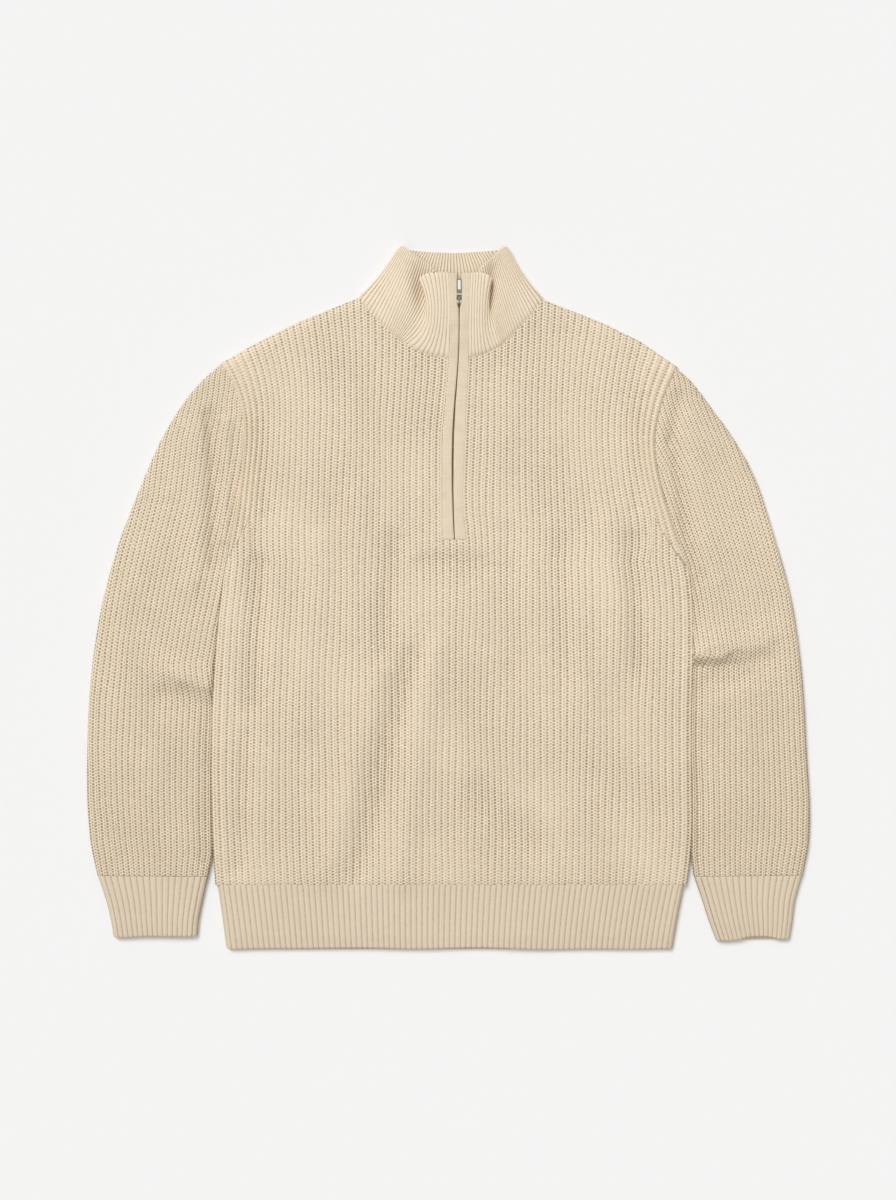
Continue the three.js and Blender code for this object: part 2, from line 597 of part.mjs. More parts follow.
// Sideways bow of the first sections, which follow the armhole
function mouthBow(armholeRows, row, share, cut) {
  const y = lerp(row.outY, row.inY, share);
  const lineX = lerp(row.outX, row.inX, share);
  const seamX = straight(armholeRows, 'y', 'x', y);
  const gap = Math.sign(lineX) * MOUTH_GAP;
  return (seamX + gap - lineX) * (1 - cut / MOUTH_ROWS) ** 1.5;
}

function flatTube({ table, cuts, ribs, ribHeight, depth, armholeRows }) {
  const stations = tubeStations(ribs);
  const sections = cuts.map((cut) => ({
    cut,
    outX: curved(table, 'outX', cut),
    outY: curved(table, 'outY', cut),
    inX: curved(table, 'inX', cut),
    inY: curved(table, 'inY', cut),
  }));
  const place = (station, section, wallInset) => {
    const width = Math.hypot(section.inX - section.outX, section.inY - section.outY);
    const raw = station.share + station.inset / width;
    const share = lerp(wallInset / width, 1 - wallInset / width, raw);
    let x = lerp(section.outX, section.inX, share);
    const y = lerp(section.outY, section.inY, share);
    if (armholeRows && section.cut < MOUTH_ROWS) {
      const mouth = table[0];
      x += mouthBow(armholeRows, mouth, share, section.cut);
    }
    return { x, y, edge: Math.min(raw, 1 - raw) * width };
  };
  const middle = depth / 2;
  const outer = (i, j) => {
    const station = stations[i];
    const { x, y, edge } = place(station, sections[j], 0);
    const round = rounding(edge);
    if (!station.upper) {
      return [x, y, middle * (1 - round)];
    }
    const height = middle + clamp(relief(x, y), DEEPEST_CREASE, HIGHEST_FOLD);
    return [x, y, middle + height * round + station.rib * ribHeight];
  };
  const inner = (i, j) => {
    const station = stations[i];
    const setBack = armholeRows && j === 0 ? SETBACK : 0;
    const { x: placeX, y, edge } = place(station, sections[j], WALL);
    const x = placeX + Math.sign(placeX) * setBack;
    const round = rounding(edge, EDGE_ROUND - WALL);
    const half = middle - WALL;
    if (!station.upper) {
      return [x, y, middle - half * round];
    }
    return [x, y, middle + (half + clamp(relief(x, y), SEAM - 2 * half, 0)) * round];
  };
  const upperEnd = ribs * 2 + 2;
  const plain = keptColumns([0, upperEnd], 8);
  return wall({
    columns: stations.length,
    rows: sections.length - 1,
    outer,
    inner,
    coarse: (i) => (i > upperEnd ? i : plain(i)),
    round: true,
  });
}

function sleeve(table, armholeRows) {
  return flatTube({
    table,
    cuts: SLEEVE_CUTS,
    ribs: SLEEVE_RIBS,
    ribHeight: RIB_HEIGHT,
    depth: SLEEVE_DEPTH,
    armholeRows,
  });
}

function cuff(table) {
  return flatTube({
    table,
    cuts: table.map((row, n) => n),
    ribs: CUFF_RIBS,
    ribHeight: BAND_RIB_HEIGHT,
    depth: CUFF_DEPTH,
  });
}

// Collar

// Point of the collar's outer face: t counts stations round it, f runs from seam to top edge
function collarPoint(t, f) {
  const read = (field) => curved(COLLAR, field, t);
  const seamX = read('seamX');
  const front = t < COLLAR_LEFT_FOLD || t > COLLAR_RIGHT_FOLD;
  const neck = front ? topLine(seamX) : straight(BACK_NECK, 'x', 'y', seamX);
  const seamY = neck + COLLAR_SEAM;
  const weights = [(2 * f - 1) * (f - 1), 4 * f * (1 - f), f * (2 * f - 1)];
  const blend = (a, b, c) => a * weights[0] + b * weights[1] + c * weights[2];
  return new THREE.Vector3(
    blend(seamX, read('midX'), read('topX')),
    blend(seamY, read('midY'), read('topY')),
    Math.max(blend(read('seamZ'), read('midZ'), read('topZ')), 0),
  );
}

// Direction out of the collar's cloth
function collarNormal(t, f) {
  const step = 0.02;
  const last = COLLAR.length - 1;
  const aroundA = collarPoint(clamp(t - step, 0, last), f);
  const aroundB = collarPoint(clamp(t + step, 0, last), f);
  const upA = collarPoint(t, clamp(f - step, 0, 1));
  const upB = collarPoint(t, clamp(f + step, 0, 1));
  const around = aroundB.sub(aroundA);
  return upB.sub(upA).cross(around).normalize();
}

// Places round the collar: two to a rib over the front, few over the plain back
function collarColumns() {
  const columns = [];
  const even = (from, to, count, ribbed) => {
    const samples = 400;
    const lengths = [0];
    for (let n = 1; n <= samples; n += 1) {
      const a = collarPoint(lerp(from, to, (n - 1) / samples), 0.5);
      const b = collarPoint(lerp(from, to, n / samples), 0.5);
      lengths.push(lengths[n - 1] + a.distanceTo(b));
    }
    for (let c = 0; c < count; c += 1) {
      const goal = (lengths[samples] * c) / count;
      const n = Math.max(lengths.findIndex((length) => length >= goal), 0);
      columns.push({ t: lerp(from, to, n / samples), rib: ribbed && c % 2 === 1 ? 1 : 0 });
    }
  };
  even(0, COLLAR_LEFT_FOLD, COLLAR_RIBS * 2, true);
  even(COLLAR_LEFT_FOLD, COLLAR_RIGHT_FOLD, COLLAR_BACK_COLUMNS, false);
  even(COLLAR_RIGHT_FOLD, COLLAR.length - 1, COLLAR_RIBS * 2, true);
  columns.push({ t: COLLAR.length - 1, rib: 0 });
  return columns;
}

function collar() {
  const columns = collarColumns();
  const outer = (i, j) => {
    const { t, rib } = columns[i];
    const f = j / COLLAR_ROWS;
    const point = collarPoint(t, f);
    return point.addScaledVector(collarNormal(t, f), rib * COLLAR_RIB_HEIGHT).toArray();
  };
  const inner = (i, j) => {
    const { t } = columns[i];
    const f = j / COLLAR_ROWS;
    const point = collarPoint(t, f);
    return point.addScaledVector(collarNormal(t, f), -COLLAR_WALL).toArray();
  };
  const leftEnd = COLLAR_RIBS * 2;
  const backEnd = leftEnd + COLLAR_BACK_COLUMNS;
  const count = columns.length - 1;
  const left = keptColumns([0, leftEnd], 4);
  const right = keptColumns([backEnd, count], 4);
  const coarse = (i) => {
    if (i <= leftEnd) return left(i);
    return i >= backEnd ? right(i) : i;
  };
  return wall({ columns: count, rows: COLLAR_ROWS, outer, inner, coarse });
}

// Placket bands and zip

// Across a band: share of its width, and how far the surface lies below its crown
const BAND_SECTION = [
  { share: 0, fall: 0.9 },
  { share: 0.15, fall: 0.1 },
  { share: 0.5, fall: 0 },
  { share: 0.85, fall: 0.15 },
  { share: 1, fall: 1.0 },
];

function band(side) {
  const edge = (row) => (side < 0 ? row.left : row.right);
  const zipEdge = (row) => row.zip + (side * row.gap) / 2;
  const place = (i, j, drop) => {
    const row = PLACKET[j];
    const x = lerp(edge(row), zipEdge(row), BAND_SECTION[i].share);
    const foot = j === 0 ? SEAM : 0;
    return [x, row.y + foot, row.level + drop];
  };
  return wall({
    columns: BAND_SECTION.length - 1,
    rows: PLACKET.length - 1,
    outer: (i, j) => place(i, j, BAND_CROWN - BAND_SECTION[i].fall),
    inner: (i, j) => place(i, j, -BAND_WALL),
    coarse: keptColumns([0, BAND_SECTION.length - 1], 4),
  });
}

function tape(side) {
  const count = PLACKET.length - 1;
  const place = (i, j, drop) => {
    const row = PLACKET[j];
    const edge = side < 0 ? row.left + 1.5 : row.right - 1.5;
    const shift = j === 0 ? 1 : j === count ? -1 : 0;
    const x = i === 0 ? edge : row.zip + side * TAPE_HALF_GAP;
    return [x, row.y + shift, row.level - TAPE_DROP - drop];
  };
  return wall({
    columns: 1,
    rows: count,
    outer: (i, j) => place(i, j, 0),
    inner: (i, j) => place(i, j, TAPE_WALL),
  });
}

const wasm = await Module();
wasm.setup();

// A closed geometry as a solid for joining
function solid(geometry, matrix) {
  const plain = geometry.clone().applyMatrix4(matrix);
  const source = plain.getAttribute('position');
  const known = new Map();
  const points = [];
  const triangles = [];
  for (let n = 0; n < source.count; n += 1) {
    const p = [source.getX(n), source.getY(n), source.getZ(n)];
    const key = p.map((value) => value.toFixed(4)).join(' ');
    if (!known.has(key)) {
      known.set(key, points.length / 3);
      points.push(...p);
    }
    triangles.push(known.get(key));
  }
  const vertProperties = new Float32Array(points);
  const triVerts = new Uint32Array(triangles);
  return new wasm.Manifold(new wasm.Mesh({ numProp: 3, vertProperties, triVerts }));
}

function geometryOf(manifold) {
  const mesh = manifold.getMesh();
  return closed(Array.from(mesh.vertProperties), Array.from(mesh.triVerts));
}

// A plate from an outline in X and Y, between two levels
function plate(shape, low, high) {
  const geometry = new THREE.ExtrudeGeometry(shape, { depth: high - low, bevelEnabled: false });
  return solid(geometry, new THREE.Matrix4().makeTranslation(0, 0, low));
}

function sliderPlateShape() {
  const shape = new THREE.Shape();
  shape.moveTo(-SLIDER.halfNarrow, -SLIDER.down);
  shape.lineTo(SLIDER.halfNarrow, -SLIDER.down);
  shape.lineTo(SLIDER.halfWide, 0.5);
  shape.lineTo(SLIDER.halfWide, SLIDER.up - 1.2);
  shape.lineTo(SLIDER.halfWide - 1.2, SLIDER.up);
  shape.lineTo(1.2 - SLIDER.halfWide, SLIDER.up);
  shape.lineTo(-SLIDER.halfWide, SLIDER.up - 1.2);
  shape.lineTo(-SLIDER.halfWide, 0.5);
  shape.closePath();
  return shape;
}

function rectangle(left, low, right, high) {
  const shape = new THREE.Shape();
  shape.moveTo(left, low);
  shape.lineTo(right, low);
  shape.lineTo(right, high);
  shape.lineTo(left, high);
  shape.closePath();
  return shape;
}

// Two plates on a narrow web, with a bail that bridges the pull's crossbar
function zipSlider() {
  const { low, lowTop, high, top } = SLIDER_LEVELS;
  const shape = sliderPlateShape();
  const web = rectangle(-SLIDER_WEB.half, -SLIDER_WEB.down, SLIDER_WEB.half, SLIDER_WEB.up);
  const roof = rectangle(-BAIL.half, -BAIL.reach, BAIL.half, BAIL.reach);
  const legNear = rectangle(-BAIL.half, -BAIL.reach, BAIL.half, BAIL.leg - BAIL.reach);
  const legFar = rectangle(-BAIL.half, BAIL.reach - BAIL.leg, BAIL.half, BAIL.reach);
  const overlap = 0.2;
  const joined = plate(shape, low, lowTop)
    .add(plate(shape, high, top))
    .add(plate(web, lowTop - overlap, high + overlap))
    .add(plate(legNear, top - overlap, BAIL.top - overlap))
    .add(plate(legFar, top - overlap, BAIL.top - overlap))
    .add(plate(roof, BAIL.top - BAIL.roof, BAIL.top));
  return geometryOf(joined);
}

// Flat tab with a window at its crossbar and a long slot at its far end
function zipPull() {
  const r = 1.2;
  const { half, tail, length } = PULL;
  const shape = new THREE.Shape();
  shape.moveTo(-half, -tail);
  shape.lineTo(half, -tail);
  shape.lineTo(half, length - r);
  shape.absarc(half - r, length - r, r, 0, Math.PI / 2, false);
  shape.absarc(r - half, length - r, r, Math.PI / 2, Math.PI, false);
  shape.closePath();
  const inner = half - PULL.rail;
  shape.holes.push(rectangle(-inner, tail, inner, PULL.windowEnd));
  shape.holes.push(rectangle(-PULL_SLOT.half, PULL_SLOT.start, PULL_SLOT.half, PULL_SLOT.end));
  const options = { depth: PULL.thick, bevelEnabled: false, curveSegments: 4 };
  const geometry = new THREE.ExtrudeGeometry(shape, options);
  geometry.translate(0, 0, -PULL.thick / 2);
  return geometry;
}

const sweater = new THREE.Group();

function addPiece(parent, name, geometry, finish) {
  const mesh = new THREE.Mesh(geometry, new THREE.MeshStandardMaterial(finish));
  mesh.name = name;
  parent.add(mesh);
  return mesh;
}

addPiece(sweater, 'back', backPanel(), YARN);
addPiece(sweater, 'front', frontPanel(), YARN);
addPiece(sweater, 'hem_back', hemBack(), YARN);
addPiece(sweater, 'hem_front', hemFront(), YARN);
addPiece(sweater, 'sleeve_left', sleeve(SLEEVE_LEFT, ARMHOLE_LEFT), YARN);
addPiece(sweater, 'sleeve_right', sleeve(SLEEVE_RIGHT, ARMHOLE_RIGHT), YARN);
addPiece(sweater, 'cuff_left', cuff(CUFF_LEFT), YARN);
addPiece(sweater, 'cuff_right', cuff(CUFF_RIGHT), YARN);
addPiece(sweater, 'collar', collar(), YARN);
addPiece(sweater, 'placket_left', band(-1), BAND_YARN);
addPiece(sweater, 'placket_right', band(1), BAND_YARN);
addPiece(sweater, 'zip_tape_left', tape(-1), TAPE_CLOTH);
addPiece(sweater, 'zip_tape_right', tape(1), TAPE_CLOTH);

const slider = addPiece(sweater, 'zip_slider', zipSlider(), METAL);
slider.position.set(SLIDER.x, SLIDER.y, 0);
const pull = addPiece(sweater, 'zip_pull', zipPull(), METAL);
pull.position.set(SLIDER.x, SLIDER.y, PULL_AXIS_Z);

export default sweater;
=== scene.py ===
import math

import bpy
import numpy as np
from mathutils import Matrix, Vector


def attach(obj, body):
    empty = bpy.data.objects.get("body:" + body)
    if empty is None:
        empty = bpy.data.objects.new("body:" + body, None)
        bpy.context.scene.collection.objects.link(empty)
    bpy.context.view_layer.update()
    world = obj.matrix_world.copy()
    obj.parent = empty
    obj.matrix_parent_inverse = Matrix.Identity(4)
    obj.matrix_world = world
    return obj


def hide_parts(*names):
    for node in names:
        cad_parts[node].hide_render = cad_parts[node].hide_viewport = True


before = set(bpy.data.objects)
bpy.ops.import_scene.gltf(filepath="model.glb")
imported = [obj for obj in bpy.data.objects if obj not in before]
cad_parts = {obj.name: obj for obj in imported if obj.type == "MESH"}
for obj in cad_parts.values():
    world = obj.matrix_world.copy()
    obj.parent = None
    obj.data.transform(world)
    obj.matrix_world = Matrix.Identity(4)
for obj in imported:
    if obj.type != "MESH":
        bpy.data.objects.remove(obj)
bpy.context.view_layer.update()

# Quarter zip sweater in thick rib knit, laid flat on its back panel.
# Sizes here are millimetres; MM turns them into metres when a mesh is made.
# +X runs to the right across the chest, +Y towards the collar, +Z up.
MM = 0.001

# The photograph's frame: its size and the real size of one of its pixels
PICTURE_WIDE = 896
PICTURE_HIGH = 1200
PIXEL = 1.08
PICTURE_ZERO_X = 448.5
PICTURE_ZERO_Y = 597.5

# Cloth thicknesses and gaps
WALL = 2.6
BACK_WALL = 3.0
BAND_WALL = 2.2
COLLAR_WALL = 2.4
LAYER_GAP = 3.3
WIDEST_GAP = 3.9
EDGE_ROUND = 9.0
SIDE_ROUND = 6.0
BACK_ROUND = 4.0
SIDE_OVERHANG = 2.4
SIDE_LEVEL = 6.4
FRONT_LEVEL = BACK_WALL + LAYER_GAP + WALL
HEM_LEVEL = FRONT_LEVEL - 0.6
EDGE_LEVEL = 3.2
SLEEVE_DEPTH = 9.0
CUFF_DEPTH = 8.5

# Ribs: how many, how high, and how many columns of the mesh each one gets
RIBS_LEFT = 35
RIBS_UNDER_ZIP = 3.5
RIBS_RIGHT = 34
HEM_RIBS = 82
SLEEVE_RIBS = 21
CUFF_RIBS = 17
COLLAR_RIBS = 30
COLLAR_BACK_RIBS = 38
RIB_HEIGHT = 0.95
RIB_SHAPE = 0.5
BAND_RIB_HEIGHT = 0.8
COLLAR_RIB_HEIGHT = 0.75
GROOVED = 0.4
STEPS = 6

# Courses of stitches: how far apart they lie
COURSE = 3.25
BAND_COURSE = 1.9


def table(names, *rows):
    """A short table with named columns, one array to a column."""
    return dict(zip(names.split(), np.array(rows, dtype=float).T))


PLACKET_FOOT = 62.5
PLACKET_NECK = 259.3
BODY = table(
    "y left right",
    (-310.5, -249.5, 255),
    (-283.5, -251.5, 258.5),
    (-250, -253.2, 260.8),
    (-218, -254, 260.8),
    (-186.5, -254.5, 260.5),
    (-155, -254.2, 260.5),
    (-123, -253.6, 260.7),
    (-92, -252.2, 261.4),
    (-61, -250, 262.2),
    (-30, -247.5, 262.2),
    (1, -244, 261.2),
    (38.5, -240, 255.5),
    (PLACKET_FOOT, -235.2, 247.5),
    (87, -230.7, 240),
    (116, -226.5, 231.5),
    (145, -223, 225.2),
    (175, -221, 223.6),
    (205, -224, 229.2),
    (228, -231.5, 237),
    (243, -239, 243.7),
    (253.5, -245.5, 248),
)
UNDERARM = 38.5
SHOULDER_TIP = 253.5

NECK_LEFT = -96.5
NECK_RIGHT = 102.5
SHOULDERS = table(
    "x y",
    (-245.5, 253.5),
    (-208, 275),
    (-169, 294.5),
    (-130, 311),
    (NECK_LEFT, 324),
    (NECK_RIGHT, 322.5),
    (129, 311.5),
    (168, 296.5),
    (207, 277),
    (248, 249),
)
FRONT_NECK = table(
    "x y",
    (NECK_LEFT, 324),
    (-82.5, 306),
    (-65.5, 289),
    (-46, 273.5),
    (-32.5, 266),
    (-20, 262),
    (-9, 259.7),
    (9, 258.7),
    (28.5, 260),
    (43.5, 265),
    (60, 274.5),
    (76.5, 291),
    (92, 308),
    (NECK_RIGHT, 322.5),
)
BACK_NECK = table(
    "x y",
    (NECK_LEFT, 324),
    (-89, 314),
    (-63, 306),
    (-30, 301),
    (3, 299.5),
    (36, 301),
    (69.5, 305),
    (95, 313),
    (NECK_RIGHT, 322.5),
)
HEM = table(
    "y left right",
    (-380.1, -240, 242.5),
    (-372, -241, 243.5),
    (-345, -244.5, 248),
    (-310.5, -249.5, 255),
)
SLEEVE_LEFT = table(
    "outX outY inX inY",
    (-246, 253, -240.4, 38.5),
    (-265, 236, -244, 14.5),
    (-285.5, 212, -246.7, -9),
    (-311.5, 169, -249.4, -35),
    (-337.5, 108.5, -251.5, -62),
    (-358, 53.5, -253.5, -89),
    (-373, -0.5, -254.8, -117),
    (-383, -56.5, -255.6, -148.5),
    (-388.5, -110.5, -256, -181),
    (-390.5, -164.5, -255.8, -213.5),
    (-390.5, -218.5, -255.2, -245.5),
    (-387, -264, -255, -275),
    (-379.5, -300.5, -259.5, -301.5),
)
SLEEVE_RIGHT = table(
    "outX outY inX inY",
    (248.5, 248.5, 255.9, 38.5),
    (266, 231.5, 260.8, 14.5),
    (286.5, 203.5, 263.4, -7),
    (310.5, 169, 263.8, -33),
    (333, 126, 263.8, -61),
    (353.5, 62, 263.2, -89),
    (369, 6, 262.5, -117),
    (378.5, -51.5, 262, -148.5),
    (384, -107.5, 262, -181),
    (387, -164.5, 262.3, -213.5),
    (390.5, -224, 262.3, -245.5),
    (389.5, -264, 262.2, -275),
    (383, -300, 265, -301.5),
)
CUFF_LEFT = table(
    "outX outY inX inY",
    (-379, -300.7, -260, -301.7),
    (-370, -328, -266, -328),
    (-365, -348.5, -270, -348.5),
    (-362, -366, -271.5, -364.5),
)
CUFF_RIGHT = table(
    "outX outY inX inY",
    (382.5, -300.2, 265.5, -301.7),
    (375, -326.5, 274.5, -328),
    (372, -348.5, 281.5, -349.5),
    (369, -367.5, 289, -369.5),
)
MOUTH_ROWS = 5

# Which rib lies at a sleeve's inner edge or armhole, and which at its outer edge
SLEEVE_LEFT_RIBS = table(
    "y inner outer",
    (-302, 21, 0),
    (0, 21, 0),
    (54, 21, 0.7),
    (108, 20.5, 1.7),
    (176, 20, 5.3),
    (212, 18.5, 7.5),
    (254, 14, 13.5),
)
SLEEVE_RIGHT_RIBS = table(
    "y inner outer",
    (-302, 21, 0),
    (38, 21, 0),
    (137, 19.5, 0.8),
    (176, 16.5, 2.2),
    (213, 13, 4),
    (250, 9, 8.5),
)
SLEEVE_LEAN = 14.0
ELBOW_SHIFT = 8.0

# The collar from the left placket band round the back to the right one:
# places at the neck seam, half way up and at the top edge
COLLAR = table(
    "seamX seamZ midX midY midZ topX topY topZ",
    (0.9, 10.6, 1.8, 302, 17, 0.6, 348.8, 19),
    (-20, 10.6, -9.5, 299.5, 17.2, -12.5, 349, 19.2),
    (-32, 10.5, -17, 299.5, 17, -23.5, 347.8, 19),
    (-42.5, 10.3, -22.3, 300, 15.4, -30, 344.6, 17.4),
    (-48, 10, -25.5, 301.5, 13.6, -30, 341.6, 13.6),
    (-52.5, 9.9, -30.5, 306, 13.4, -15.5, 351, 11.6),
    (-57.5, 9.9, -38.5, 316, 15.6, -24.5, 359.8, 15.2),
    (-66, 9.9, -49, 329, 16.4, -34.5, 367.3, 15.6),
    (-80.5, 9.6, -61, 339.5, 13.4, -44, 374.2, 13.6),
    (-92, 8.4, -69, 348, 10, -49.5, 378, 10),
    (-98, 4.6, -72.5, 351, 5, -53.3, 379.6, 5),
    (-92, 0, -69, 347, 0, -48, 376.5, 0),
    (-63, 0, -50, 339.5, 0, -31, 374, 0),
    (3, 0, 4, 336.5, 0, 4, 372, 0),
    (69.5, 0, 60, 338.5, 0, 40.5, 374, 0),
    (97, 0, 76, 347, 0, 60, 376.5, 0),
    (104, 4.6, 79.5, 351.5, 5, 64.6, 379.6, 5),
    (97.5, 8.4, 76, 348, 10, 60.5, 378, 10),
    (86, 9.6, 68.5, 339, 13.4, 55.5, 374.2, 13.6),
    (72, 9.9, 58, 329, 16, 48, 367, 15.6),
    (62.5, 9.9, 51, 317, 14.2, 40.5, 360.2, 14.6),
    (57.5, 9.9, 46.5, 306, 13.4, 32.5, 351.5, 11.6),
    (53, 10, 44, 301.5, 13.6, 45.2, 341.6, 13.6),
    (48, 10.3, 40, 300, 15.4, 45.2, 345, 17.4),
    (41, 10.5, 36.5, 299.5, 17, 39.4, 347.8, 19),
    (32, 10.6, 30, 299.5, 17.2, 32, 349, 19.2),
    (21.8, 10.6, 22.2, 302, 17, 23.8, 348.8, 19),
)
COLLAR_LEFT_FOLD = 10
COLLAR_RIGHT_FOLD = 16
COLLAR_HEIGHT = 86.0
COLLAR_HOLLOW = 10.0
FOLD_REACH = 0.9
FOLD_TIP_OUT = 1.2
FOLD_TIP_DOWN = 0.9
FOLD_FOOT_OUT = 1.0
FOLD_FOOT_DOWN = 2.4
COLLAR_SEAM_DIP = 1.4
# How much darker the gaps are painted in the collar's hollows and on its folds: painted shade
HOLLOW_PAINTED_SHADE = 3.5
FOLD_PAINTED_SHADE = 0.7

PLACKET = table(
    "y left right zip gap level",
    (PLACKET_FOOT, -6, 18.5, 6.5, 1.3, 9.6),
    (87.7, -6, 16, 5.3, 2, 9.7),
    (117.6, -6, 15.3, 4.5, 2.3, 9.8),
    (147.5, -6, 16.5, 4.5, 2.9, 9.8),
    (178.4, -5.6, 17.5, 5.1, 3, 9.8),
    (209.3, -2.6, 18.8, 6.9, 2.5, 9.8),
    (233, -0.2, 20.2, 8.9, 1.8, 9.9),
    (248.5, 0.7, 20.8, 10, 1.5, 10.2),
    (PLACKET_NECK, 1.1, 21.1, 10.7, 1.4, 11),
    (276, 1.9, 21.5, 11.3, 1.3, 13.6),
    (299.5, 2.2, 22, 11.5, 1.3, 17),
    (312, 2.2, 22.2, 11.5, 1.9, 18.6),
    (316, 2.1, 22.3, 11.5, 6.8, 18.9),
    (335, 1.6, 22.8, 11.5, 6.8, 19),
    (348.5, 0.9, 23.4, 11.5, 6.8, 19),
)

# Soft creases: a line on the upper side, how far it spreads to the left and to the right
# of the way it runs, and its height or depth
CREASES = table(
    "fromX fromY toX toY left right height",
    (-259, 196, -252, 137.5, 9, 6, -4.4),
    (-252, 137.5, -254.5, 36, 9, 6, -4.8),
    (-268, 186, -272, 20, 8, 16, 3),
    (-239, 190, -243, 62, 6, 6, 3.2),
    (251, 215, 243, 170, 6, 9, -3.4),
    (243, 165, 268, 20, 6, 10, -4.6),
    (262, 190, 292, 20, 11, 12, 1.8),
    (232, 190, 246, 90, 7, 6, 1.6),
    (-257, -97, -290, -88, 7, 17, 4.8),
    (-290, -87, -322, -80, 9, 17, 2),
    (-252, -122, -306, -104, 16, 10, -4.4),
    (260, -65, 292, -61, 20, 7.5, 6.6),
    (292, -61, 342, -49, 20, 8.5, 3),
    (262, -80, 306, -80, 10, 17, -6),
    (306, -80, 338, -66, 8, 15, -2.8),
    (-41.5, -67.5, -100, -299.5, 12, 12, -4),
    (-14.5, -56.5, -52.5, -305, 16, 12, 3),
    (-72, -80, -128, -290, 12, 17, 2.4),
    (-22, 40, 32, 38, 10, 20, -2.8),
    (-30, 56, 40, 54, 16, 9, 0.6),
    (-205.5, 35, -212, -110.5, 11, 12, -4),
    (-180, 70, -186, -60, 14, 14, 2.2),
    (-136.5, 56.5, -160.5, -132.5, 20, 20, 3),
    (-58, 60, -72, -60, 11, 14, -3.2),
    (-96, 110, -104, -40, 14, 14, 1.6),
    (198, 60.5, 207, -76.5, 11, 12, -3.8),
    (176, 80, 184, -70, 16, 16, 2.4),
    (120, 60, 128, -90, 14, 14, -2.6),
    (64, 70, 70, -80, 14, 14, -1.8),
    (32, -208, 88, -262, 20, 20, -2.6),
    (131, -2.5, 147.5, -240.5, 26, 26, 1.8),
    (-218, -150, -226, -290, 10, 10, -2.4),
    (-344, -2.5, -355, -175.5, 19.4, 19.4, 1.6),
    (-279, 181, -322.5, 40.5, 15, 15, 1.2),
    (268, 20, 266, -50, 9, 7, -3),
    (269, -80, 270, -285, 9, 7, -3.6),
    (-261, -125, -263, -285, 7, 8, -3),
    (-206, 210, -197, 90, 8, 8, -1.6),
    (206, 214, 203, 96, 8, 8, -1.8),
    (300, -120, 330, -230, 22, 22, 1.4),
    (-300, -130, -330, -240, 20, 20, 1.2),
)
SLEEVE_CREASES = 255.0
DEEPEST_CREASE = -4.3
HIGHEST_FOLD = 6.5


def smooth(places, values, at):
    """A curve through every value of a table's column, read anywhere."""
    slopes = np.gradient(values, places)
    k = np.clip(np.searchsorted(places, at, side="right") - 1, 0, len(places) - 2)
    span = places[k + 1] - places[k]
    t = np.clip((at - places[k]) / span, 0, 1)
    t2 = t * t
    t3 = t2 * t
    start = values[k] * (2 * t3 - 3 * t2 + 1) + slopes[k] * span * (t3 - 2 * t2 + t)
    end = values[k + 1] * (3 * t2 - 2 * t3) + slopes[k + 1] * span * (t3 - t2)
    return start + end


def by_row(rows, name, at):
    """A column of a table read by row number, between rows too."""
    return smooth(np.arange(len(rows[name]), dtype=float), rows[name], at)


def read(rows, name, at):
    """A column of a table read at a height, along straight lines between its rows."""
    return np.interp(at, rows["y"], rows[name])


def read_smooth(rows, name, at):
    """The same along a curve through the rows."""
    return smooth(rows["y"], rows[name], at)


def lerp(a, b, t):
    return a + (b - a) * t


def unit(value):
    """A value held between 0 and 1."""
    return np.clip(value, 0, 1)


def bell(distance, reach, power=2):
    """1 at no distance, falling softly towards 0 past its reach."""
    return np.exp(-((distance / reach) ** power))


def by_start(values, gap):
    """Adds a line close to the first, so that the cloth's shading stays level at a seam."""
    return np.insert(values, 1, values[0] + gap)


def by_end(values, gap):
    """Adds a line close to the last, for the same reason."""
    return np.insert(values, len(values) - 1, values[-1] - gap)


def rounding(distance, reach=EDGE_ROUND):
    """Height of a layer's round edge, from 0 at the edge to 1 where it is flat."""
    rest = 1 - unit(distance / reach)
    return np.sqrt(1 - rest * rest)


def rib(phase, width=RIB_SHAPE):
    """Height of a rib from 0 in the valley to 1 on its back; phase counts ribs."""
    return (0.5 - 0.5 * np.cos(2 * np.pi * phase)) ** width


def undulation(x, y):
    """Slow unevenness of cloth that was laid down by hand."""
    a = np.sin(x / 37.0 + y / 61.0) * np.sin(y / 83.0 - x / 120.0 + 1.3)
    b = np.sin(x / 19.0 - y / 47.0 + 2.1) * np.sin(y / 29.0 + x / 71.0)
    return 0.45 * a + 0.22 * b


def meander(x, y):
    """How far a rib strays from its even course."""
    a = np.sin(y / 31.0 + x / 17.0) * np.sin(x / 43.0 + 0.7)
    b = np.sin(y / 67.0 - x / 29.0 + 2.0)
    c = np.sin(y / 13.0 + x / 9.0) * np.sin(x / 21.0 - y / 90.0)
    return 0.9 * a + 0.8 * b + 0.25 * c


def relief(x, y, on_body=True):
    """Sum of the creases and the slow unevenness at a place on the upper side."""
    total = undulation(x, y)
    for n in range(len(CREASES["height"])):
        x0, y0 = CREASES["fromX"][n], CREASES["fromY"][n]
        if on_body and abs(x0 + CREASES["toX"][n]) > 2 * SLEEVE_CREASES:
            continue
        dx, dy = CREASES["toX"][n] - x0, CREASES["toY"][n] - y0
        t = unit(((x - x0) * dx + (y - y0) * dy) / (dx * dx + dy * dy))
        away = np.hypot(x - x0 - dx * t, y - y0 - dy * t)
        turn = (dx * (y - y0) - dy * (x - x0)) / np.hypot(dx, dy)
        share = unit(0.5 + turn / 6.0)
        reach = lerp(CREASES["right"][n], CREASES["left"][n], share)
        total = total + CREASES["height"][n] * bell(away, reach)
    return total


def painted_fold_shade(bend):
    """Painted shade: how much darker the stitches' gaps are painted where the cloth lies in a fold.
    """
    return 0.55 * unit(-bend / 4)


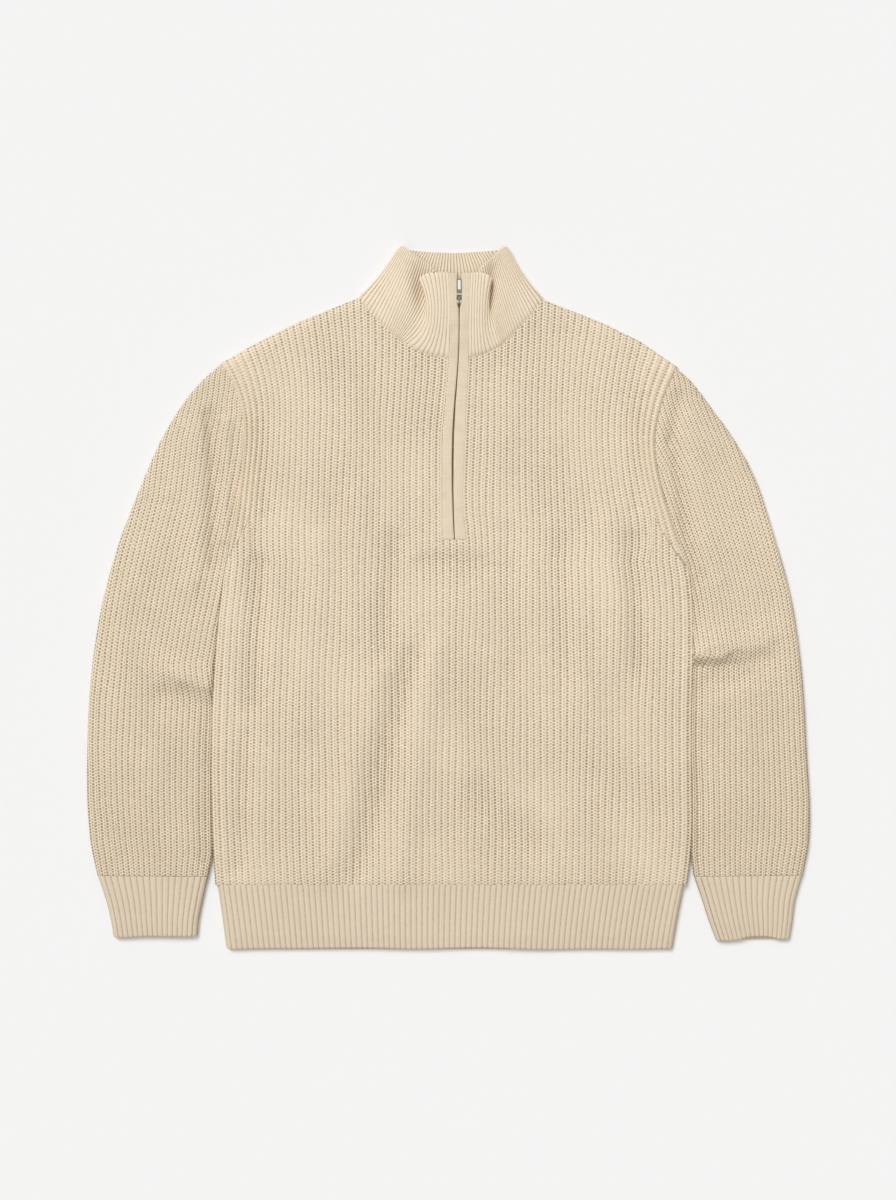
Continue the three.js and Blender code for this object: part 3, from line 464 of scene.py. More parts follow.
def panel_top(neck_rows, x):
    """The shoulders with a neckline between them."""
    neck = smooth(neck_rows["x"], neck_rows["y"], x)
    shoulders = np.interp(x, SHOULDERS["x"], SHOULDERS["y"])
    return np.where((x > NECK_LEFT) & (x < NECK_RIGHT), neck, shoulders)


def top_line(x):
    """The front panel's upper edge."""
    return panel_top(FRONT_NECK, x)


def back_line(x):
    """The back panel's upper edge."""
    return panel_top(BACK_NECK, x)


# Meshes


def nearest_kept(count, step, named=()):
    """For each line of a grid, the nearest line that the plain inside keeps."""
    kept = sorted({*range(0, count, step), count - 1, *named})
    kept = np.array(kept)
    return kept[np.abs(np.arange(count)[:, None] - kept[None, :]).argmin(axis=1)]


def roll_over(outer, inner, knit, rows=4):
    """Adds rows to the last edge of a grid that roll from its outer to its inner face."""
    middle = (outer[:, -1] + inner[:, -1]) / 2
    normal = (outer[:, -1] - inner[:, -1]) / 2
    ahead = outer[:, -1] - outer[:, -2]
    normal_size = np.linalg.norm(normal, axis=1, keepdims=True)
    along = (ahead * normal).sum(axis=1, keepdims=True) / np.maximum(normal_size, 1e-3) ** 2
    ahead = ahead - normal * along
    ahead *= normal_size / np.maximum(np.linalg.norm(ahead, axis=1, keepdims=True), 1e-6)
    added = []
    for n in range(1, rows + 1):
        angle = math.pi * n / (rows + 1)
        added.append(middle + normal * math.cos(angle) + ahead * math.sin(angle))
    roll = np.stack(added, axis=1)
    tail = np.repeat(inner[:, -1:], rows, axis=1)
    marks = np.repeat(knit[:, -1:], rows, axis=1)
    return (
        np.concatenate([outer, roll], axis=1),
        np.concatenate([inner, tail], axis=1),
        np.concatenate([knit, marks], axis=1),
    )


# Corners of a cell in turn, as its outer and its inner face go round, and for each side of a
# cell the step to its neighbour and the two corners there
OUTER_TURN = ((0, 0), (1, 0), (1, 1), (0, 1))
INNER_TURN = ((0, 0), (0, 1), (1, 1), (1, 0))
CELL_SIDES = (
    ((0, -1), (0, 0), (1, 0)),
    ((1, 0), (1, 0), (1, 1)),
    ((0, 1), (1, 1), (0, 1)),
    ((-1, 0), (0, 1), (0, 0)),
)


def cell_corner(ids, cells, step):
    """A corner of each cell; after the last column comes the first."""
    return ids[(cells[0] + step[0]) % len(ids), cells[1] + step[1]]


def rim(filled, outer_ids, inner_ids, wrap, step, first, second):
    """The wall's edge where the cell on one side is missing."""
    i, j = np.nonzero(filled)
    near = (i + step[0]) % len(filled) if wrap else i + step[0]
    far = j + step[1]
    inside = (near >= 0) & (near < filled.shape[0]) & (far >= 0) & (far < filled.shape[1])
    joined = np.zeros(len(i), bool)
    joined[inside] = filled[near[inside], far[inside]]
    cells = i[~joined], j[~joined]
    return np.stack([cell_corner(outer_ids, cells, second), cell_corner(outer_ids, cells, first),
                     cell_corner(inner_ids, cells, first), cell_corner(inner_ids, cells, second)], 1)


def shell(name, outer, inner, knit, steps=(1, 1), named=(), open_cells=None, wrap=False,
          inner_knit=(0, 0, 0)):
    """A closed wall of cloth from two grids of points.

    The outer grid is used whole, the inner one on every few columns and rows.
    knit gives each outer point its place in the knitting: rib number, course number and
    how open the stitches are, with painted shade added in folds, hollows and along edges.
    inner_knit moves the inner points' numbers and scales how open they are, and with it
    their painted shade. open_cells marks the cells that the wall leaves out."""
    columns, rows = outer.shape[:2]
    outer_ids = np.arange(columns * rows).reshape(columns, rows)
    kept = np.ix_(nearest_kept(columns, steps[0], named), nearest_kept(rows, steps[1]))
    inner_ids = outer_ids[kept] + columns * rows
    filled = np.ones((columns if wrap else columns - 1, rows - 1), bool)
    if open_cells is not None:
        filled &= ~open_cells
    cells = np.nonzero(filled)
    faces = [np.stack([cell_corner(ids, cells, step) for step in turn], 1)
             for ids, turn in ((outer_ids, OUTER_TURN), (inner_ids, INNER_TURN))]
    soft = sum(len(part) for part in faces)
    for step, first, second in CELL_SIDES:
        faces.append(rim(filled, outer_ids, inner_ids, wrap, step, first, second))
    points = np.concatenate([outer.reshape(-1, 3), inner.reshape(-1, 3)])
    marks = knit.reshape(-1, 3)
    marks = np.concatenate([marks, marks * (1, 1, inner_knit[2]) + (*inner_knit[:2], 0)])
    return mesh_piece(name, points, np.concatenate(faces), marks, soft)


def loose_mesh(name, points, faces, smooth_shaded=False):
    """A mesh from points in millimetres."""
    mesh = bpy.data.meshes.new(name)
    mesh.from_pydata((np.asarray(points) * MM).tolist(), [], faces)
    mesh.polygons.foreach_set("use_smooth", [smooth_shaded] * len(mesh.polygons))
    mesh.update()
    piece = bpy.data.objects.new(name, mesh)
    bpy.context.scene.collection.objects.link(piece)
    return piece


def mesh_piece(name, points, quads, marks, soft):
    """A wall of cloth from points and quads, some of which are really triangles.

    The first faces, as many as soft says, are shaded as one surface, the others flat."""
    faces = []
    smooth_faces = 0
    for place, quad in enumerate(quads.tolist()):
        corners = [v for n, v in enumerate(quad) if v != quad[n - 1]]
        if len(set(corners)) == len(corners) and len(corners) > 2:
            faces.append(corners)
            smooth_faces += place < soft
    used = np.unique(np.concatenate([np.array(f) for f in faces]))
    new_id = np.zeros(len(points), int)
    new_id[used] = np.arange(len(used))
    faces = [[int(new_id[v]) for v in f] for f in faces]
    piece = loose_mesh(name, points[used], faces)
    mesh = piece.data
    layer = mesh.attributes.new("knit", "FLOAT_VECTOR", "POINT")
    layer.data.foreach_set("vector", marks[used].astype(np.float32).ravel())
    if signed_volume(points, quads) < 0:
        mesh.flip_normals()
    mesh.polygons.foreach_set("use_smooth", np.arange(len(faces)) < smooth_faces)
    mesh.update()
    return piece


def signed_volume(points, quads):
    a, b, c, d = (points[quads[:, n]] for n in range(4))
    first = np.einsum("ij,ij->i", a, np.cross(b, c))
    second = np.einsum("ij,ij->i", a, np.cross(c, d))
    return float((first + second).sum())


def stack(*parts):
    return np.stack(np.broadcast_arrays(*parts), axis=-1).astype(float)


def finish_piece(piece, material, slot, *nodes):
    piece.data.materials.append(material)
    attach(piece, "sweater")
    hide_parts(*nodes)
    return piece


# Materials


class Nodes:
    """Short names for building a material's nodes."""

    def __init__(self, name):
        self.material = bpy.data.materials.new(name)
        self.material.use_nodes = True
        self.tree = self.material.node_tree
        self.shader = self.tree.nodes["Principled BSDF"]

    def put(self, inputs, values):
        """Gives sockets their links, colours and numbers."""
        for key, value in values.items():
            if isinstance(value, bpy.types.NodeSocket):
                self.tree.links.new(value, inputs[key])
            elif isinstance(value, tuple):
                inputs[key].default_value = (*value, 1.0)
            else:
                inputs[key].default_value = value

    def add(self, kind, values=None, **settings):
        node = self.tree.nodes.new(kind)
        for key, value in settings.items():
            setattr(node, key, value)
        self.put(node.inputs, values or {})
        return node.outputs

    def surface(self, values):
        self.put(self.shader.inputs, values)

    def place(self):
        return self.add("ShaderNodeTexCoord")["Object"]

    def parts(self, vector):
        """The three numbers of a vector."""
        return self.add("ShaderNodeSeparateXYZ", {0: vector})

    def math(self, operation, *values, clamp=False):
        numbers = dict(enumerate(values))
        return self.add("ShaderNodeMath", numbers, operation=operation, use_clamp=clamp)[0]

    def times(self, a, b):
        return self.math("MULTIPLY", a, b)

    def plus(self, a, b):
        return self.math("ADD", a, b)

    def minus(self, a, b):
        return self.math("SUBTRACT", a, b)

    def scaled(self, value, factor, base, clamp=False):
        """A value times a factor, added to a base."""
        return self.math("MULTIPLY_ADD", value, factor, base, clamp=clamp)

    def wave(self, turns):
        """The cosine of a number of whole turns."""
        return self.math("COSINE", self.times(turns, 2 * math.pi))

    def noise(self, scale, detail, source, roughness=0.5, output="Fac"):
        values = {"Scale": scale, "Detail": detail, "Roughness": roughness, "Vector": source}
        return self.add("ShaderNodeTexNoise", values)[output]

    def smooth_range(self, value, low, high):
        """1 at high, 0 at low and beyond, with a soft step between."""
        values = {"Value": value, "From Min": low, "From Max": high}
        return self.add("ShaderNodeMapRange", values, interpolation_type="SMOOTHSTEP")[0]

    def chance(self, number, size):
        """A fixed chance value from 0 to size for each whole number."""
        value = self.add("ShaderNodeTexWhiteNoise", {"W": number}, noise_dimensions="1D")["Value"]
        return self.times(value, size)

    def mix(self, share, a, b):
        values = {"Factor": share, "A": a, "B": b}
        return self.add("ShaderNodeMix", values, data_type="RGBA")["Result"]

    def bump(self, height, strength, distance):
        values = {"Strength": strength, "Distance": distance, "Height": height}
        return self.add("ShaderNodeBump", values)["Normal"]


WOOL = {"Roughness": 0.92, "Specular IOR Level": 0.22, "Sheen Weight": 0.08,
        "Sheen Roughness": 0.45, "Sheen Tint": (1.0, 0.94, 0.85)}

# Unevenness of the yarn's shade, from patches to flecks
YARN_SHADES = (
    {"scale": 34.0, "detail": 4.0, "roughness": 0.6, "share": 0.2},
    {"scale": 7.0, "detail": 2.0, "roughness": 0.5, "share": 0.16},
    {"scale": 700.0, "detail": 2.0, "roughness": 0.5, "share": 0.3},
)
YARN_DRIFT_SCALE = 260.0
GAP_UNEVENNESS_SCALE = 420.0
FIBRE_SCALE = 1500.0
RIB_CHANCE = 0.35
# Painted shade low down: it starts at the first height and is full at the second
LOW_SHADE_FROM = 0.06
LOW_SHADE_TO = -0.32


def knit_numbers(m, place, wobble):
    """Rib and course numbers with the yarn's small drift, and stitch openness plus painted shade."""
    knit = m.parts(m.add("ShaderNodeAttribute", attribute_name="knit")["Vector"])
    offset = m.parts(m.noise(YARN_DRIFT_SCALE, 1.0, place, output="Color"))
    across = m.plus(knit[0], m.times(m.minus(offset[0], 0.5), wobble))
    along = m.plus(knit[1], m.times(m.minus(offset[1], 0.5), wobble * 3))
    return across, along, knit[2]


def knit_gaps(m, place, numbers, rib_along, look):
    """Painted shade between stitches: how dark the gaps are painted in the valleys and down each
    rib's middle.
    """
    across, along, open_and_shade = numbers
    from_valley = m.math("PINGPONG", across, 0.5)
    from_middle = m.minus(0.5, from_valley)
    valley_along = m.plus(along, m.chance(m.math("ROUND", across), RIB_CHANCE))
    in_valley = m.smooth_range(from_valley, look["reach"], 0.02)
    in_middle = m.smooth_range(from_middle, look["reach"] * 0.8, 0.01)
    gap_row = m.scaled(m.wave(valley_along), 0.5, 0.5)
    middle_row = m.scaled(m.wave(rib_along), -0.5, 0.5)
    gaps = m.times(m.times(gap_row, in_valley), look["gaps"])
    middle = m.times(m.times(middle_row, in_middle), look["middle"])
    # The gaps, the valleys and the ribs' middles are painted darker: painted shade in these recesses.
    depth = m.plus(m.plus(gaps, m.times(in_valley, look["stay"])), middle)
    uneven = m.noise(GAP_UNEVENNESS_SCALE, 2.0, place)
    depth = m.times(depth, m.scaled(uneven, 1.4, 0.3))
    return m.math("MULTIPLY", depth, open_and_shade, clamp=True), from_middle


def knit_shade(m, place, depth, legs, look):
    """How far the colour goes from the light yarn to the dark colour: painted shade in the gaps,
    the stitches' legs, the yarn's uneven tone and painted shade low down.
    """
    shade = m.scaled(m.minus(1.0, legs), look["legs"] * 0.2, depth)
    for yarn in YARN_SHADES:
        noise = m.noise(yarn["scale"], yarn["detail"], place, yarn["roughness"])
        shade = m.scaled(m.minus(noise, 0.5), yarn["share"], shade)
    # Painted shade: the cloth is painted darker towards the bottom.
    low_shade = m.smooth_range(m.parts(place)[1], LOW_SHADE_FROM, LOW_SHADE_TO)
    return m.scaled(low_shade, look["low"], shade, clamp=True)


def knit_material(name, light, dark, look):
    """Rib knit: V stitches on each rib and a chain of small dark gaps in each valley, whose darkness
    is painted shade.

    look says how dark the gaps in the valleys and down the ribs' middles are painted, how dark
    the valley itself stays, how far the gaps reach, how strongly the stitches' legs stand
    out, how steeply they run, how high the bump is, how uneven the yarn lies and how much
    painted shade darkens the cloth low down."""
    m = Nodes(name)
    place = m.place()
    numbers = knit_numbers(m, place, look["wobble"])
    rib_along = m.plus(numbers[1], m.chance(m.math("FLOOR", numbers[0]), RIB_CHANCE))
    depth, from_middle = knit_gaps(m, place, numbers, rib_along, look)
    lean = m.scaled(from_middle, look["slope"], rib_along)
    legs = m.scaled(m.wave(lean), 0.5, 0.5)
    height = m.scaled(depth, -1.1, m.times(legs, look["legs"]))
    height = m.scaled(m.noise(FIBRE_SCALE, 3.0, place, 0.7), 0.4, height)
    colour = m.mix(knit_shade(m, place, depth, legs, look), light, dark)
    m.surface({"Base Color": colour, "Normal": m.bump(height, 0.9, look["bump"] * MM), **WOOL})
    return m.material


def plain_material(name, light, dark, stitch, bump_size):
    """Fine plain knit: small stitches in rows, nearly even in colour."""
    m = Nodes(name)
    place = m.place()
    size = stitch * MM
    split = m.parts(place)
    across = m.times(split[0], 1 / size)
    along = m.times(split[1], 1 / (size * 0.8))
    stitches = m.wave(m.plus(along, m.math("PINGPONG", across, 0.5)))
    height = m.scaled(m.wave(across), -0.5, m.times(stitches, 0.5))
    height = m.plus(height, m.times(m.noise(1600.0, 3.0, place, 0.7), 0.7))
    tone = m.minus(m.noise(90.0, 4.0, place), 0.5)
    # Painted shade: each stitch's lower parts are painted darker, on top of the yarn's uneven tone.
    shade = m.scaled(tone, 0.5, m.scaled(height, -0.2, 0.14), clamp=True)
    bump = m.bump(height, 0.6, bump_size * MM)
    m.surface({"Base Color": m.mix(shade, light, dark), "Normal": bump, **WOOL})
    return m.material


def metal_material(name, colour, roughness):
    """Polished nickel with fine scratches and duller patches."""
    m = Nodes(name)
    wear = m.noise(900.0, 4.0, m.place())
    m.surface({
        "Base Color": m.mix(wear, colour, tuple(0.7 * c for c in colour)),
        "Roughness": m.scaled(wear, 0.25, roughness),
        "Metallic": 1.0,
        "Normal": m.bump(wear, 0.15, 0.02 * MM),
    })
    return m.material


YARN_LIGHT = (0.930, 0.800, 0.615)
SLEEVE_LIGHT = (0.915, 0.785, 0.600)
BAND_LIGHT = (0.750, 0.635, 0.494)
COLLAR_LIGHT = (0.920, 0.792, 0.615)
PLACKET_LIGHT = (0.905, 0.778, 0.600)
# The dark colour: partly the yarn's darker tone, partly painted shade in gaps, valleys, folds and
# edges.
YARN_DARK_AND_SHADE = (0.42, 0.315, 0.200)
# Painted shade in the knit's gaps and valleys: how dark each is painted
THICK_KNIT = {"gaps": 1.0, "stay": 0.02, "middle": 0.62, "reach": 0.25, "legs": 0.6,
              "slope": 1.5, "bump": 0.65, "wobble": 0.15, "low": 0.11}
FINE_KNIT = {"gaps": 0.12, "stay": 0.50, "middle": 0.04, "reach": 0.17, "legs": 0.4,
             "slope": 0.8, "bump": 0.35, "wobble": 0.05, "low": 0.0}

BODY_KNIT = knit_material("body_knit", YARN_LIGHT, YARN_DARK_AND_SHADE, THICK_KNIT)
SLEEVE_KNIT = knit_material("sleeve_knit", SLEEVE_LIGHT, YARN_DARK_AND_SHADE, THICK_KNIT)
BAND_KNIT = knit_material("band_knit", BAND_LIGHT, YARN_DARK_AND_SHADE, FINE_KNIT)
COLLAR_KNIT = knit_material("collar_knit", COLLAR_LIGHT, YARN_DARK_AND_SHADE, FINE_KNIT)
PLACKET_KNIT = plain_material(
    "placket_knit", PLACKET_LIGHT, YARN_DARK_AND_SHADE, stitch=1.7, bump_size=0.5)
TAPE_CLOTH = plain_material(
    "tape_cloth", (0.60, 0.49, 0.36), (0.35, 0.27, 0.19), stitch=0.8, bump_size=0.1)
LINKING_YARN = plain_material("linking_yarn", (0.86, 0.735, 0.56), YARN_DARK_AND_SHADE, 0.9, 0.1)
# The lighter nickel is a painted highlight where light catches the slider's bar and the pull's
# plates; the dark nickel is the metal's darker tone and partly painted shade.
NICKEL_HIGHLIGHT = metal_material("nickel", (0.66, 0.635, 0.585), 0.2)
DARK_NICKEL = metal_material("dark_nickel", (0.30, 0.255, 0.20), 0.4)
TOOTH_METAL = metal_material("tooth_metal", (0.24, 0.19, 0.13), 0.5)

# Front panel
# Ribs near the armhole run along it. They meet the upright ribs below on a slanting line
# from the underarm to the junction's top. Rib numbers count from the side.

FRONT_ROWS = {"lower": (57, 14), "upper": (15, 30)}
BACK_ROWS = {"lower": (43, 6), "upper": (6, 16)}
SEAM_LINE = 0.25
FINE_START = 30.0
FINE_END = 96.0
BODY_FOOT = BODY["y"][0]

# How the ribs stand and how the cloth lies towards its seams
SEAM_REACH = 4.0
RIB_AT_SEAM = 0.25
RIBS_BY_ARMHOLE = 2.2
LEAST_HEIGHT = 2.4
ARMHOLE_DIP = 1.0
ARMHOLE_REACH = 24.0
ARMHOLE_RIBS_FOOT = 50.0
ARMHOLE_FADE = 40.0
OVERHANG_TOP = UNDERARM + 26
OVERHANG_REACH = 12.0
NECK_DIP = 0.5
FOOT_DIP = 0.1
LEAST_GAP = 0.1
THINNEST = 0.15
LEFT_JUNCTION = {"foot": 36.0, "top": 93.4, "ribs": 4.3, "lost": 1.3}
RIGHT_JUNCTION = {"foot": 30.8, "top": 93.4, "ribs": 5.4, "lost": 2.4}


def spread(t, side_at_hem, side, slit_at_foot, slit):
    """A column keeps its even place, and moves most where it lies by the edge that moves."""
    even = lerp(side_at_hem, slit_at_foot, t)
    return even + (side - side_at_hem) * (1 - t) ** 2 + (slit - slit_at_foot) * t**2


def half_body(number, count, junction, level, side_column, slit_foot, slit):
    """Places across one half of a body panel, and the rib numbers there, from the side in."""
    at_hem = BODY[side_column][0]
    pitch = (slit_foot - at_hem) / count
    low_side = read_smooth(BODY, side_column, np.minimum(level, UNDERARM))
    high_side = read_smooth(BODY, side_column, level)
    lost, top_rib = junction["lost"], junction["ribs"]
    turned = np.where(number < top_rib, lost + number * (1 - lost / top_rib), number)
    low = spread(number / count, at_hem, low_side, slit_foot, slit_foot)
    share = (turned - lost) / (count - lost)
    high = spread(share, at_hem + lost * pitch, high_side, slit_foot, slit)
    line = lerp(junction["foot"], junction["top"], np.minimum(number / top_rib, 1))
    soft = np.where(number < top_rib, 8.0, junction["top"] - UNDERARM)
    start = np.where(number < top_rib, line - 4.0, UNDERARM)
    x = lerp(low, high, unit((level - start) / soft))
    return x, np.where(level > line, turned, number)


def body_levels(rows):
    lower = np.concatenate([
        np.linspace(BODY_FOOT, FINE_START, rows["lower"][0] + 1),
        np.linspace(FINE_START, PLACKET_FOOT, rows["lower"][1] + 1)[1:],
    ])
    upper = np.concatenate([
        np.linspace(PLACKET_FOOT, FINE_END, rows["upper"][0] + 1)[1:],
        np.linspace(FINE_END, SHOULDER_TIP, rows["upper"][1] + 1)[1:],
    ])
    levels = by_end(by_start(np.concatenate([lower, upper]), SEAM_LINE), SEAM_LINE)
    return levels[None, :], len(lower)


def body_grid(step, rows, line):
    """Places and rib numbers of a body panel's grid, and the lines where its slit lies."""
    ribs = RIBS_LEFT + RIBS_UNDER_ZIP + RIBS_RIGHT
    numbers = np.arange(0, round(ribs * step) + 1)[:, None] / step
    level, slit_row = body_levels(rows)
    share = np.maximum((level - PLACKET_FOOT) / (SHOULDER_TIP - PLACKET_FOOT), 0)
    slit_y = lerp(PLACKET_FOOT, PLACKET_NECK, share)
    slit_left = read(PLACKET, "left", slit_y) - 0.1
    slit_right = read(PLACKET, "right", slit_y) + 0.1
    right_start = RIBS_LEFT + RIBS_UNDER_ZIP
    a, a_rib = half_body(numbers, RIBS_LEFT, LEFT_JUNCTION, level, "left",
                         slit_left[0, 0], slit_left)
    b, b_rib = half_body(ribs - numbers, RIBS_RIGHT, RIGHT_JUNCTION, level, "right",
                         slit_right[0, 0], slit_right)
    middle = lerp(slit_left, slit_right, (numbers - RIBS_LEFT) / RIBS_UNDER_ZIP)
    on_left = numbers <= RIBS_LEFT
    on_right = numbers >= right_start
    x = np.where(on_left, a, np.where(on_right, b, middle))
    from_edge = np.minimum(x - x[:1], x[-1:] - x)
    from_slit = np.maximum(slit_left - x, x - slit_right)
    free = unit(np.minimum(from_edge, np.where(share > 0, from_slit, 60)) / 30)
    x = x + meander(x, level) * free
    rib_number = np.where(on_left, a_rib, np.where(on_right, ribs - b_rib, numbers))
    top = line(x[:, -1:])
    y = np.where(share > 0, lerp(PLACKET_FOOT, top, share), level)
    columns = (round(RIBS_LEFT * step), round(right_start * step))
    return x, y, rib_number, level, columns, slit_row


def body_flat(x, y, level, line):
    """How flat the panel lies: 0 at the side seams and shoulders, 1 away from them."""
    side = np.minimum(x - read_smooth(BODY, "left", level), read_smooth(BODY, "right", level) - x)
    below_arm = unit((UNDERARM + 25 - y) / 25)
    by_side = lerp(1.0, rounding(side, SIDE_ROUND), below_arm)
    from_line = (line(x) - y) * 0.9
    from_left = np.hypot(x - NECK_LEFT, y - line(NECK_LEFT))
    from_right = np.hypot(x - NECK_RIGHT, y - line(NECK_RIGHT))
    corner = np.minimum(from_left, from_right) * 0.9
    shoulder = np.where((x < NECK_LEFT) | (x > NECK_RIGHT), from_line, corner)
    return np.minimum(by_side, rounding(shoulder)), side


def openness(x, y):
    """How far the stitches are pulled open: most below the neckline and on the chest."""
    by_neck = bell(top_line(x) - y, 26.0) * (np.abs(x - 3) < 150)
    chest = np.exp(-((x / 130.0) ** 2) - ((y - 190) / 90.0) ** 2)
    low = np.exp(-((y + 300) / 60.0) ** 2)
    patches = 0.16 * np.sin(x / 23.0 + y / 37.0) * np.sin(y / 53.0 - x / 61.0 + 1.0)
    return 0.86 + 0.35 * by_neck + 0.14 * chest - 0.12 * low + patches


def front_base(x, y, flat, side):
    """Height of the front panel without its ribs."""
    height = np.maximum(FRONT_LEVEL - EDGE_LEVEL + relief(x, y), LEAST_HEIGHT)
    below_arm = unit((UNDERARM - y) / 20)
    low = lerp(EDGE_LEVEL, SIDE_LEVEL, below_arm * (side < 30))
    armhole_dip = ARMHOLE_DIP * bell(side, 2.0) * unit((y - UNDERARM) / 30)
    neck_dip = NECK_DIP * bell(top_line(x) - y, 2.2)
    foot_dip = FOOT_DIP * bell(y - BODY_FOOT, 2.5)
    return low + (EDGE_LEVEL + height - low) * flat - armhole_dip - neck_dip - foot_dip


def front_ribs(number, y, flat, by_armhole):
    """Height of the front's ribs: most by the armhole, least at the edges and the hem."""
    shape = rib(number) * np.clip(flat * 1.5, 0.3, 1)
    raised = RIB_HEIGHT * shape * (1 + RIBS_BY_ARMHOLE * by_armhole)
    return raised * lerp(RIB_AT_SEAM, 1.0, rounding(y - BODY_FOOT, SEAM_REACH))


def upper_inside(base, by_side=0.0):
    """Height of an upper layer's inner face: a wall below its outer one, over the hollow."""
    inside = np.clip(base - WALL, BACK_WALL + LEAST_GAP, BACK_WALL + WIDEST_GAP)
    inside = lerp(inside, BACK_WALL + LEAST_GAP, by_side)
    return np.minimum(inside, base - THINNEST)


def front_surface():
    x, y, number, level, slit, slit_row = body_grid(STEPS, FRONT_ROWS, top_line)
    flat, side = body_flat(x, y, level, top_line)
    base = front_base(x, y, flat, side)
    by_armhole = bell(side, ARMHOLE_REACH, 4) * unit((y - ARMHOLE_RIBS_FOOT) / ARMHOLE_FADE)
    below_arm = unit((UNDERARM - y) / 20)
    near_arm = unit((OVERHANG_TOP - y) / 20)
    x = x + SIDE_OVERHANG * unit(1 - side / OVERHANG_REACH) * near_arm * np.sign(x)
    outer = stack(x, y, base + front_ribs(number, y, flat, by_armhole))
    inner = stack(x, y, upper_inside(base, bell(side, 3.0) * below_arm))
    # Painted shade: the gaps are painted darker along the side seams below the arm, along the top
    # edge and in folds, added to how open the stitches are.
    by_side = bell(side, 3.5) * below_arm
    by_top = bell(top_line(x) - y, 3.0)
    open_and_shade = openness(x, y) * (1 - 0.3 * by_armhole) + 0.6 * by_side + 0.2 * by_top
    knit = stack(number, y / COURSE, open_and_shade + painted_fold_shade(relief(x, y)))
    cells = np.zeros((x.shape[0] - 1, x.shape[1] - 1), bool)
    cells[slit[0]:slit[1], slit_row:] = True
    return outer, inner, knit, cells, slit


def make_front():
    outer, inner, knit, cells, slit = front_surface()
    link_front(outer, slit)
    piece = shell("front_panel", outer, inner, knit, (12, 6), slit, cells)
    finish_piece(piece, BODY_KNIT, "body_knit", "front")


def lower_layer(x, y, edge):
    """Under and upper face of a layer that lies on the ground."""
    return stack(x, y, BACK_WALL * (1 - edge)), stack(x, y, np.full_like(x, BACK_WALL))


def make_back():
    x, y, number, level, *_ = body_grid(2, BACK_ROWS, back_line)
    side = body_flat(x, y, level, back_line)[1]
    edge = rounding(np.minimum(side, (back_line(x) - y) * 0.9), BACK_ROUND)
    under, above = lower_layer(x, y, edge)
    knit = stack(number, y / COURSE, np.ones_like(y))
    piece = shell("back_panel", under, above, knit, (2, 2))
    finish_piece(piece, BODY_KNIT, "body_knit", "back")


# Hem


HEM_FOOT = HEM["y"][0]
HEM_TOP = HEM["y"][-1]
HEM_SEAM_RISE = 0.65
HEM_LEAST_HEIGHT = 1.6
HEM_SETTLE = 0.3
HEM_SETTLE_REACH = 14.0


def hem_grid(per_rib, rows):
    """Places on a hem band, its rib numbers and the distance to its side."""
    numbers = np.arange(0, HEM_RIBS * per_rib + 1)[:, None] / per_rib
    y = by_start(np.linspace(HEM_TOP, HEM_FOOT + 1.3, rows + 1), -SEAM_LINE)[None, :]
    left = read_smooth(HEM, "left", y)
    right = read_smooth(HEM, "right", y)
    x = lerp(left, right, numbers / HEM_RIBS)
    return x, np.broadcast_to(y, x.shape), numbers, np.minimum(x - left, right - x)


def hem_wave(x):
    """How far the hem's lower edge rises and falls."""
    return 1.1 * np.sin(x / 41.0 + 1.2) * np.sin(x / 97.0 + 0.4) + 0.5 * np.sin(x / 19.0)


def make_hem_front():
    x, y, numbers, side = hem_grid(STEPS, 24)
    lower = ((HEM_TOP - y) / (HEM_TOP - HEM_FOOT)) ** 3
    y = y + (hem_wave(x) + 1.0) * lower * unit(side / 10)
    y = y + 4.0 * lower**4 * (1 - rounding(side, SIDE_ROUND))
    seam = HEM_TOP - y
    settle = 1 - HEM_SETTLE + HEM_SETTLE * unit((y - HEM_FOOT) / HEM_SETTLE_REACH)
    height = np.maximum((HEM_LEVEL - EDGE_LEVEL) * settle + relief(x, y), HEM_LEAST_HEIGHT)
    base = EDGE_LEVEL + height * rounding(side, SIDE_ROUND)
    base = base + HEM_SEAM_RISE * bell(seam, SEAM_REACH)
    raised = BAND_RIB_HEIGHT * rib(numbers, GROOVED) * unit(side / 4)
    outer = stack(x, y, base + raised * np.clip(seam / SEAM_REACH, 0.1, 1))
    inner = stack(x, y, upper_inside(base))
    knit = stack(numbers, y / BAND_COURSE, np.ones_like(y))
    piece = shell("hem_band_front", *roll_over(outer, inner, knit), (12, 8))
    finish_piece(piece, BAND_KNIT, "band_knit", "hem_front")


def make_hem_back():
    x, y, numbers, side = hem_grid(2, 10)
    under, above = lower_layer(x, y, rounding(side, BACK_ROUND))
    knit = stack(numbers, y / BAND_COURSE, np.ones_like(y))
    piece = shell("hem_band_back", *roll_over(under, above, knit), (4, 2))
    finish_piece(piece, BAND_KNIT, "band_knit", "hem_back")


# Sleeves and cuffs

UNDER_INSETS = np.array([0.5, 1.5, 3.0, 5.0, 7.0, 9.0])
SLEEVE_SEAM_DIP = 0.8
CUFF_SEAM_RISE = 0.5
CUFF_SETTLE = 1.0
CUFF_SETTLE_REACH = 16.0


def tube_stations(ribs):
    """Stations round a flat tube: share of its width, inset in millimetres, side, rib number."""
    share = [0.0, 0.0]
    inset = [0.0, 0.35]
    count = ribs * STEPS
    for c in range(1, count):
        share.append(c / count)
        inset.append(0.0)
    share += [1.0, 1.0]
    inset += [-0.35, 0.0]
    upper = len(share)
    for gap in UNDER_INSETS:
        share.append(1.0)
        inset.append(-gap)
    for part in (0.8, 0.6, 0.4, 0.2):
        share.append(part)
        inset.append(0.0)
    for gap in UNDER_INSETS[::-1]:
        share.append(0.0)
        inset.append(gap)
    return np.array(share), np.array(inset), upper


